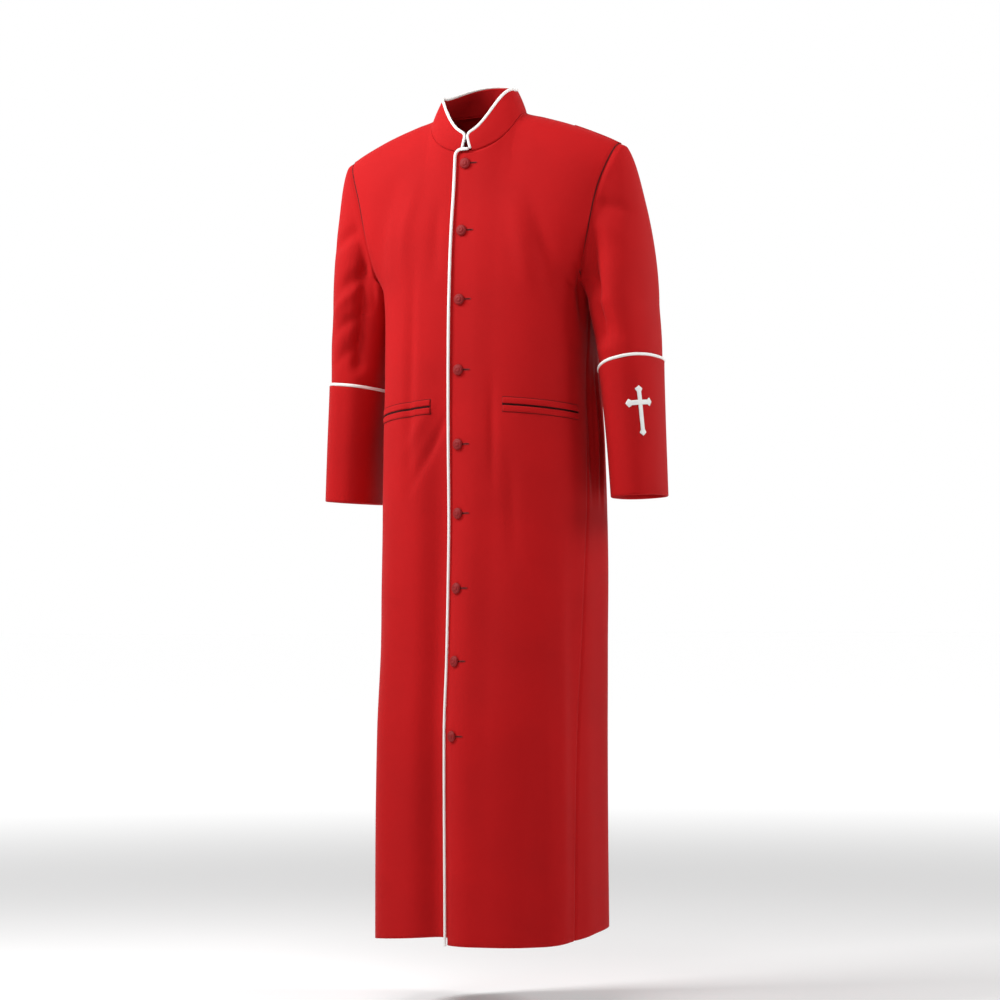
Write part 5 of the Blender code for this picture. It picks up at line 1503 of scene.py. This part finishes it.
class ROBE_OT_body(bpy.types.Operator):
    """Build both fronts and the back"""

    bl_idname = "robe.body"
    bl_label = "Fronts and back"

    def execute(self, context):
        shapes = forms()["shapes"]
        for name in ("left", "right", "back"):
            add_sheet(name if name == "back" else "front_" + name, shell(*shapes[name]))
        return {"FINISHED"}


class ROBE_OT_collar(bpy.types.Operator):
    """Build the band collar"""

    bl_idname = "robe.collar"
    bl_label = "Collar"

    def execute(self, context):
        add_sheet("collar", shell(*forms()["shapes"]["collar"]))
        return {"FINISHED"}


class ROBE_OT_sleeves(bpy.types.Operator):
    """Build the sleeves and their cuffs"""

    bl_idname = "robe.sleeves"
    bl_label = "Sleeves and cuffs"

    def execute(self, context):
        # Painted shade: a near-black red cord in each armhole's ditch stands in for the shade that
        # falls in the seam
        dark = satin("dark_red_polyester_thread", linear("#3A0406"), 0.8, 0.0008)
        for side_name in ("left", "right"):
            add_piece("robe_armhole_seam_" + side_name, armhole_shade_form(side_name), dark,
                      "red_cloth")
        for node in ("sleeve_left", "sleeve_right", "cuff_left", "cuff_right"):
            add_sheet(node, shell(*forms()["shapes"][node], closed=True))
        return {"FINISHED"}


class ROBE_OT_piping(bpy.types.Operator):
    """Build the white piping of the collar, the front and the cuffs"""

    bl_idname = "robe.piping"
    bl_label = "Piping"

    def execute(self, context):
        across = context.scene.robe_trim.piping_width / 2
        proud = SEAM_GAP + across
        known = forms()
        outer, inner = known["shapes"]["collar"]
        middle = (outer + inner) / 2
        normal = known["collar_normal"]
        edge = np.concatenate([middle[:, 0], middle[-1, 1:-1], middle[::-1, -1]])
        edge_normal = np.concatenate([normal[:, 0], normal[-1, 1:-1], normal[::-1, -1]])
        outward = unit(np.cross(unit(np.gradient(edge, axis=0)), edge_normal))
        highest = len(edge) // 2
        outward = outward * np.sign(outward[highest, 2])
        path = edge + proud * outward
        walk = np.append(0.0, np.cumsum(np.linalg.norm(np.diff(path, axis=0), axis=1)))
        kept = (walk > PIPING_FOOT_CUT) & (walk < walk[-1] - PIPING_FOOT_CUT)
        add_piece("robe_piping_collar", cord(path[kept], edge_normal[kept], across,
                                             PIPING_RADIUS),
                  piping_material(), "white_piping", ["piping_collar"])

        left = known["left"]
        left_normal = known["normals"]["left"]
        top = (left[-1, :, 0] < PIPING_TOP_END) & (np.arange(left.shape[1]) > 0)
        edge = np.concatenate([left[:, 0], left[-1, top]])
        edge_normal = np.concatenate([left_normal[:, 0], left_normal[-1, top]])
        outward = unit(np.cross(unit(np.gradient(edge, axis=0)), edge_normal))
        outward = outward * -np.sign(outward[2, 0])
        path = edge + proud * outward + (proud + PIPING_CLEARANCE) * edge_normal
        add_piece("robe_piping_front", cord(path, edge_normal, across, PIPING_RADIUS),
                  piping_material(), "white_piping", ["piping_front"])

        for side_name, mirror, table in (("left", 1, SLEEVE_LEFT), ("right", -1, SLEEVE_RIGHT)):
            ring = sleeve_tube(table, CUFF_TOP[side_name] + proud, ring_angles(), mirror,
                               SEAM_GAP + PIPING_RADIUS, CUFF_TOP_DIP[side_name])
            add_piece("robe_piping_cuff_" + side_name,
                      cord(ring, unit(ring - ring.mean(axis=0)), across, PIPING_RADIUS,
                           closed=True),
                      piping_material(), "white_piping", ["piping_cuff_" + side_name])
        return {"FINISHED"}


class ROBE_OT_buttons(bpy.types.Operator):
    """Build the nine covered buttons and their buttonholes"""

    bl_idname = "robe.buttons"
    bl_label = "Buttons"

    def execute(self, context):
        known = forms()
        line = known["left"][:, LAP_STEPS]
        line_normals = known["normals"]["left"][:, LAP_STEPS]
        thread = satin("red_rayon_buttonhole_thread", linear("#820A0E"), 0.6, 0.0008)
        # Painted shade: the strips in the buttonholes' and pockets' slits are a near-black red
        # that stands in for the shade in the openings
        lining = gabardine("dark_cotton_lining", opaque(context.scene.robe_cloth.lining))
        cover = satin("red_covered_button_cloth", linear("#8C0C10"), 0.6, 0.0008)
        for number, height in enumerate(BUTTON_HEIGHTS, start=1):
            add_piece(f"robe_button_{number}",
                      button_form(height, line, line_normals,
                                  context.scene.robe_trim.button_size / 2),
                      cover, "covered_button", [f"button_{number}"])
        add_piece("robe_buttonhole_stitching",
                  join_forms([buttonhole_form(height) for height in BUTTON_HEIGHTS]),
                  thread, "covered_button")
        add_piece("robe_buttonhole_slits",
                  join_forms([slit_form(height) for height in BUTTON_HEIGHTS]),
                  lining, "red_cloth")
        return {"FINISHED"}


class ROBE_OT_pockets(bpy.types.Operator):
    """Build the two welt pockets"""

    bl_idname = "robe.pockets"
    bl_label = "Pockets"

    def execute(self, context):
        # Painted shade: a near-black strip in each pocket's slit stands in for the shade in the
        # opening
        lining = bpy.data.materials["dark_cotton_lining"]
        # Painted shade: dark red cords round the welts stand in for the shade at their edges
        thread = bpy.data.materials["dark_red_polyester_thread"]
        for side_name, mirror, ends in (("left", 1, POCKET_LEFT), ("right", -1, POCKET_RIGHT)):
            for name, way in (("upper", 1), ("lower", -1)):
                add_piece(f"robe_welt_{side_name}_{name}", welt_form(ends, mirror, way),
                          cloth_material(), "red_cloth", [f"welt_{side_name}_{name}"])
            add_piece(f"robe_pocket_slit_{side_name}", slit_shade_form(ends, mirror), lining,
                      "red_cloth")
            add_piece(f"robe_pocket_stitching_{side_name}", pocket_shade_form(ends, mirror),
                      thread, "red_cloth")
        return {"FINISHED"}


class ROBE_OT_cross(bpy.types.Operator):
    """Build the embroidered cross of the wearer's left cuff"""

    bl_idname = "robe.cross"
    bl_label = "Cross"

    def execute(self, context):
        colour = opaque(context.scene.robe_trim.embroidery_colour)
        thread = satin("white_rayon_satin_stitch", colour, 0.45, 0.0009)
        up = CROSS_HEIGHT / 2 - CROSS_BAR_ABOVE_MIDDLE
        down = -CROSS_HEIGHT / 2 - CROSS_BAR_ABOVE_MIDDLE
        half = CROSS_SPAN / 2
        bars = [cross_bar_form(SLEEVE_LEFT, 1, down, up, True, 0.0),
                cross_bar_form(SLEEVE_LEFT, 1, -half, half, False, CROSS_BAR_LIFT)]
        add_piece("robe_cross_left", join_forms(bars), thread, "white_embroidery",
                  ["cross_left"])
        return {"FINISHED"}


class ROBE_OT_stage(bpy.types.Operator):
    """Build the floor, the lights and the camera"""

    bl_idname = "robe.stage"
    bl_label = "Stage"

    def execute(self, context):
        scene = context.scene
        stage = scene.robe_stage
        u = np.linspace(-FLOOR_HALF, FLOOR_HALF, FLOOR_LINES)
        x, y = np.meshgrid(u, u)
        points = np.stack([x, y, np.full(x.shape, FLOOR_HEIGHT)], axis=-1).reshape(-1, 3)
        index = np.arange(FLOOR_LINES ** 2).reshape(FLOOR_LINES, FLOOR_LINES)
        faces = np.stack([index[:-1, :-1], index[:-1, 1:], index[1:, 1:], index[1:, :-1]],
                         axis=-1).reshape(-1, 4)
        floor = add_piece("studio_floor", (points, [faces], None),
                          plain_floor("pale_studio_vinyl", opaque(stage.floor_colour)))

        for light in LIGHTS:
            data = bpy.data.lights.new(light.name, "AREA")
            data.shape = "RECTANGLE"
            data.size = light.width
            data.size_y = light.height
            data.energy = light.watts
            lamp = bpy.data.objects.new(light.name, data)
            scene.collection.objects.link(lamp)
            around = math.radians(light.azimuth)
            rise = math.radians(light.elevation)
            way = Vector((math.sin(around) * math.cos(rise), -math.cos(around) * math.cos(rise),
                          math.sin(rise)))
            lamp.location = Vector(LIGHT_AIM) + light.distance * way
            lamp.rotation_euler = way.to_track_quat("Z", "Y").to_euler()

        world = bpy.data.worlds.new("studio_world")
        world.use_nodes = True
        tree = world.node_tree
        way = add(tree, "ShaderNodeTexCoord")
        angle = stage.view_angle
        behind = add(tree, "ShaderNodeVectorMath", {"operation": "DOT_PRODUCT"})
        tree.links.new(way.outputs["Generated"], behind.inputs[0])
        behind.inputs[1].default_value = (-math.sin(angle), math.cos(angle), 0.0)
        glow = add(tree, "ShaderNodeMapRange", {"interpolation_type": "SMOOTHSTEP"}, {
            "Value": behind.outputs["Value"], "From Min": 0.30, "From Max": 0.80,
            "To Min": WORLD_NEAR, "To Max": WORLD_FAR})
        background = tree.nodes["Background"]
        background.inputs["Color"].default_value = (1.0, 1.0, 1.0, 1.0)
        tree.links.new(glow.outputs["Result"], background.inputs["Strength"])
        scene.world = world
        scene.view_settings.view_transform = "Standard"

        data = bpy.data.cameras.new("photo_view")
        data.sensor_width = CAMERA_SENSOR
        data.lens = CAMERA_SENSOR * stage.distance / CAMERA_FIELD
        data.shift_x = CAMERA_SHIFT[0]
        data.shift_y = CAMERA_SHIFT[1]
        camera = bpy.data.objects.new("photo_view", data)
        scene.collection.objects.link(camera)
        camera.location = (stage.distance * math.sin(angle), -stage.distance * math.cos(angle),
                           CAMERA_HEIGHT)
        turn = (Matrix.Rotation(angle, 3, "Z")
                @ Matrix.Rotation(math.radians(90 + CAMERA_PITCH), 3, "X")
                @ Matrix.Rotation(math.radians(CAMERA_ROLL), 3, "Z"))
        camera.rotation_euler = turn.to_euler()
        scene.camera = camera
        return {"FINISHED"}


OPERATORS = (ROBE_OT_body, ROBE_OT_collar, ROBE_OT_sleeves, ROBE_OT_piping, ROBE_OT_buttons,
             ROBE_OT_pockets, ROBE_OT_cross, ROBE_OT_stage)


class ROBE_PT_sidebar(bpy.types.Panel):
    """The robe's pieces and values in the 3D view's sidebar"""

    bl_idname = "ROBE_PT_sidebar"
    bl_label = "Clergy Robe"
    bl_space_type = "VIEW_3D"
    bl_region_type = "UI"
    bl_category = "Robe"

    def draw(self, context):
        for values in (context.scene.robe_cloth, context.scene.robe_trim,
                       context.scene.robe_stage):
            box = self.layout.box()
            for name in values.__annotations__:
                box.prop(values, name)
        for operator in OPERATORS:
            self.layout.operator(operator.bl_idname)


CLASSES = (RobeCloth, RobeTrim, RobeStage) + OPERATORS + (ROBE_PT_sidebar,)


def register():
    """Register the classes and hang the values on the scene."""
    for item in CLASSES:
        bpy.utils.register_class(item)
    bpy.types.Scene.robe_cloth = bpy.props.PointerProperty(type=RobeCloth)
    bpy.types.Scene.robe_trim = bpy.props.PointerProperty(type=RobeTrim)
    bpy.types.Scene.robe_stage = bpy.props.PointerProperty(type=RobeStage)


def unregister():
    """Take the values and the classes away again."""
    del bpy.types.Scene.robe_stage
    del bpy.types.Scene.robe_trim
    del bpy.types.Scene.robe_cloth
    for item in reversed(CLASSES):
        bpy.utils.unregister_class(item)


def main():
    """Build the whole robe and its stage."""
    register()
    bpy.ops.robe.body()
    bpy.ops.robe.collar()
    bpy.ops.robe.sleeves()
    bpy.ops.robe.piping()
    bpy.ops.robe.buttons()
    bpy.ops.robe.pockets()
    bpy.ops.robe.cross()
    bpy.ops.robe.stage()


if __name__ == "__main__":
    main()
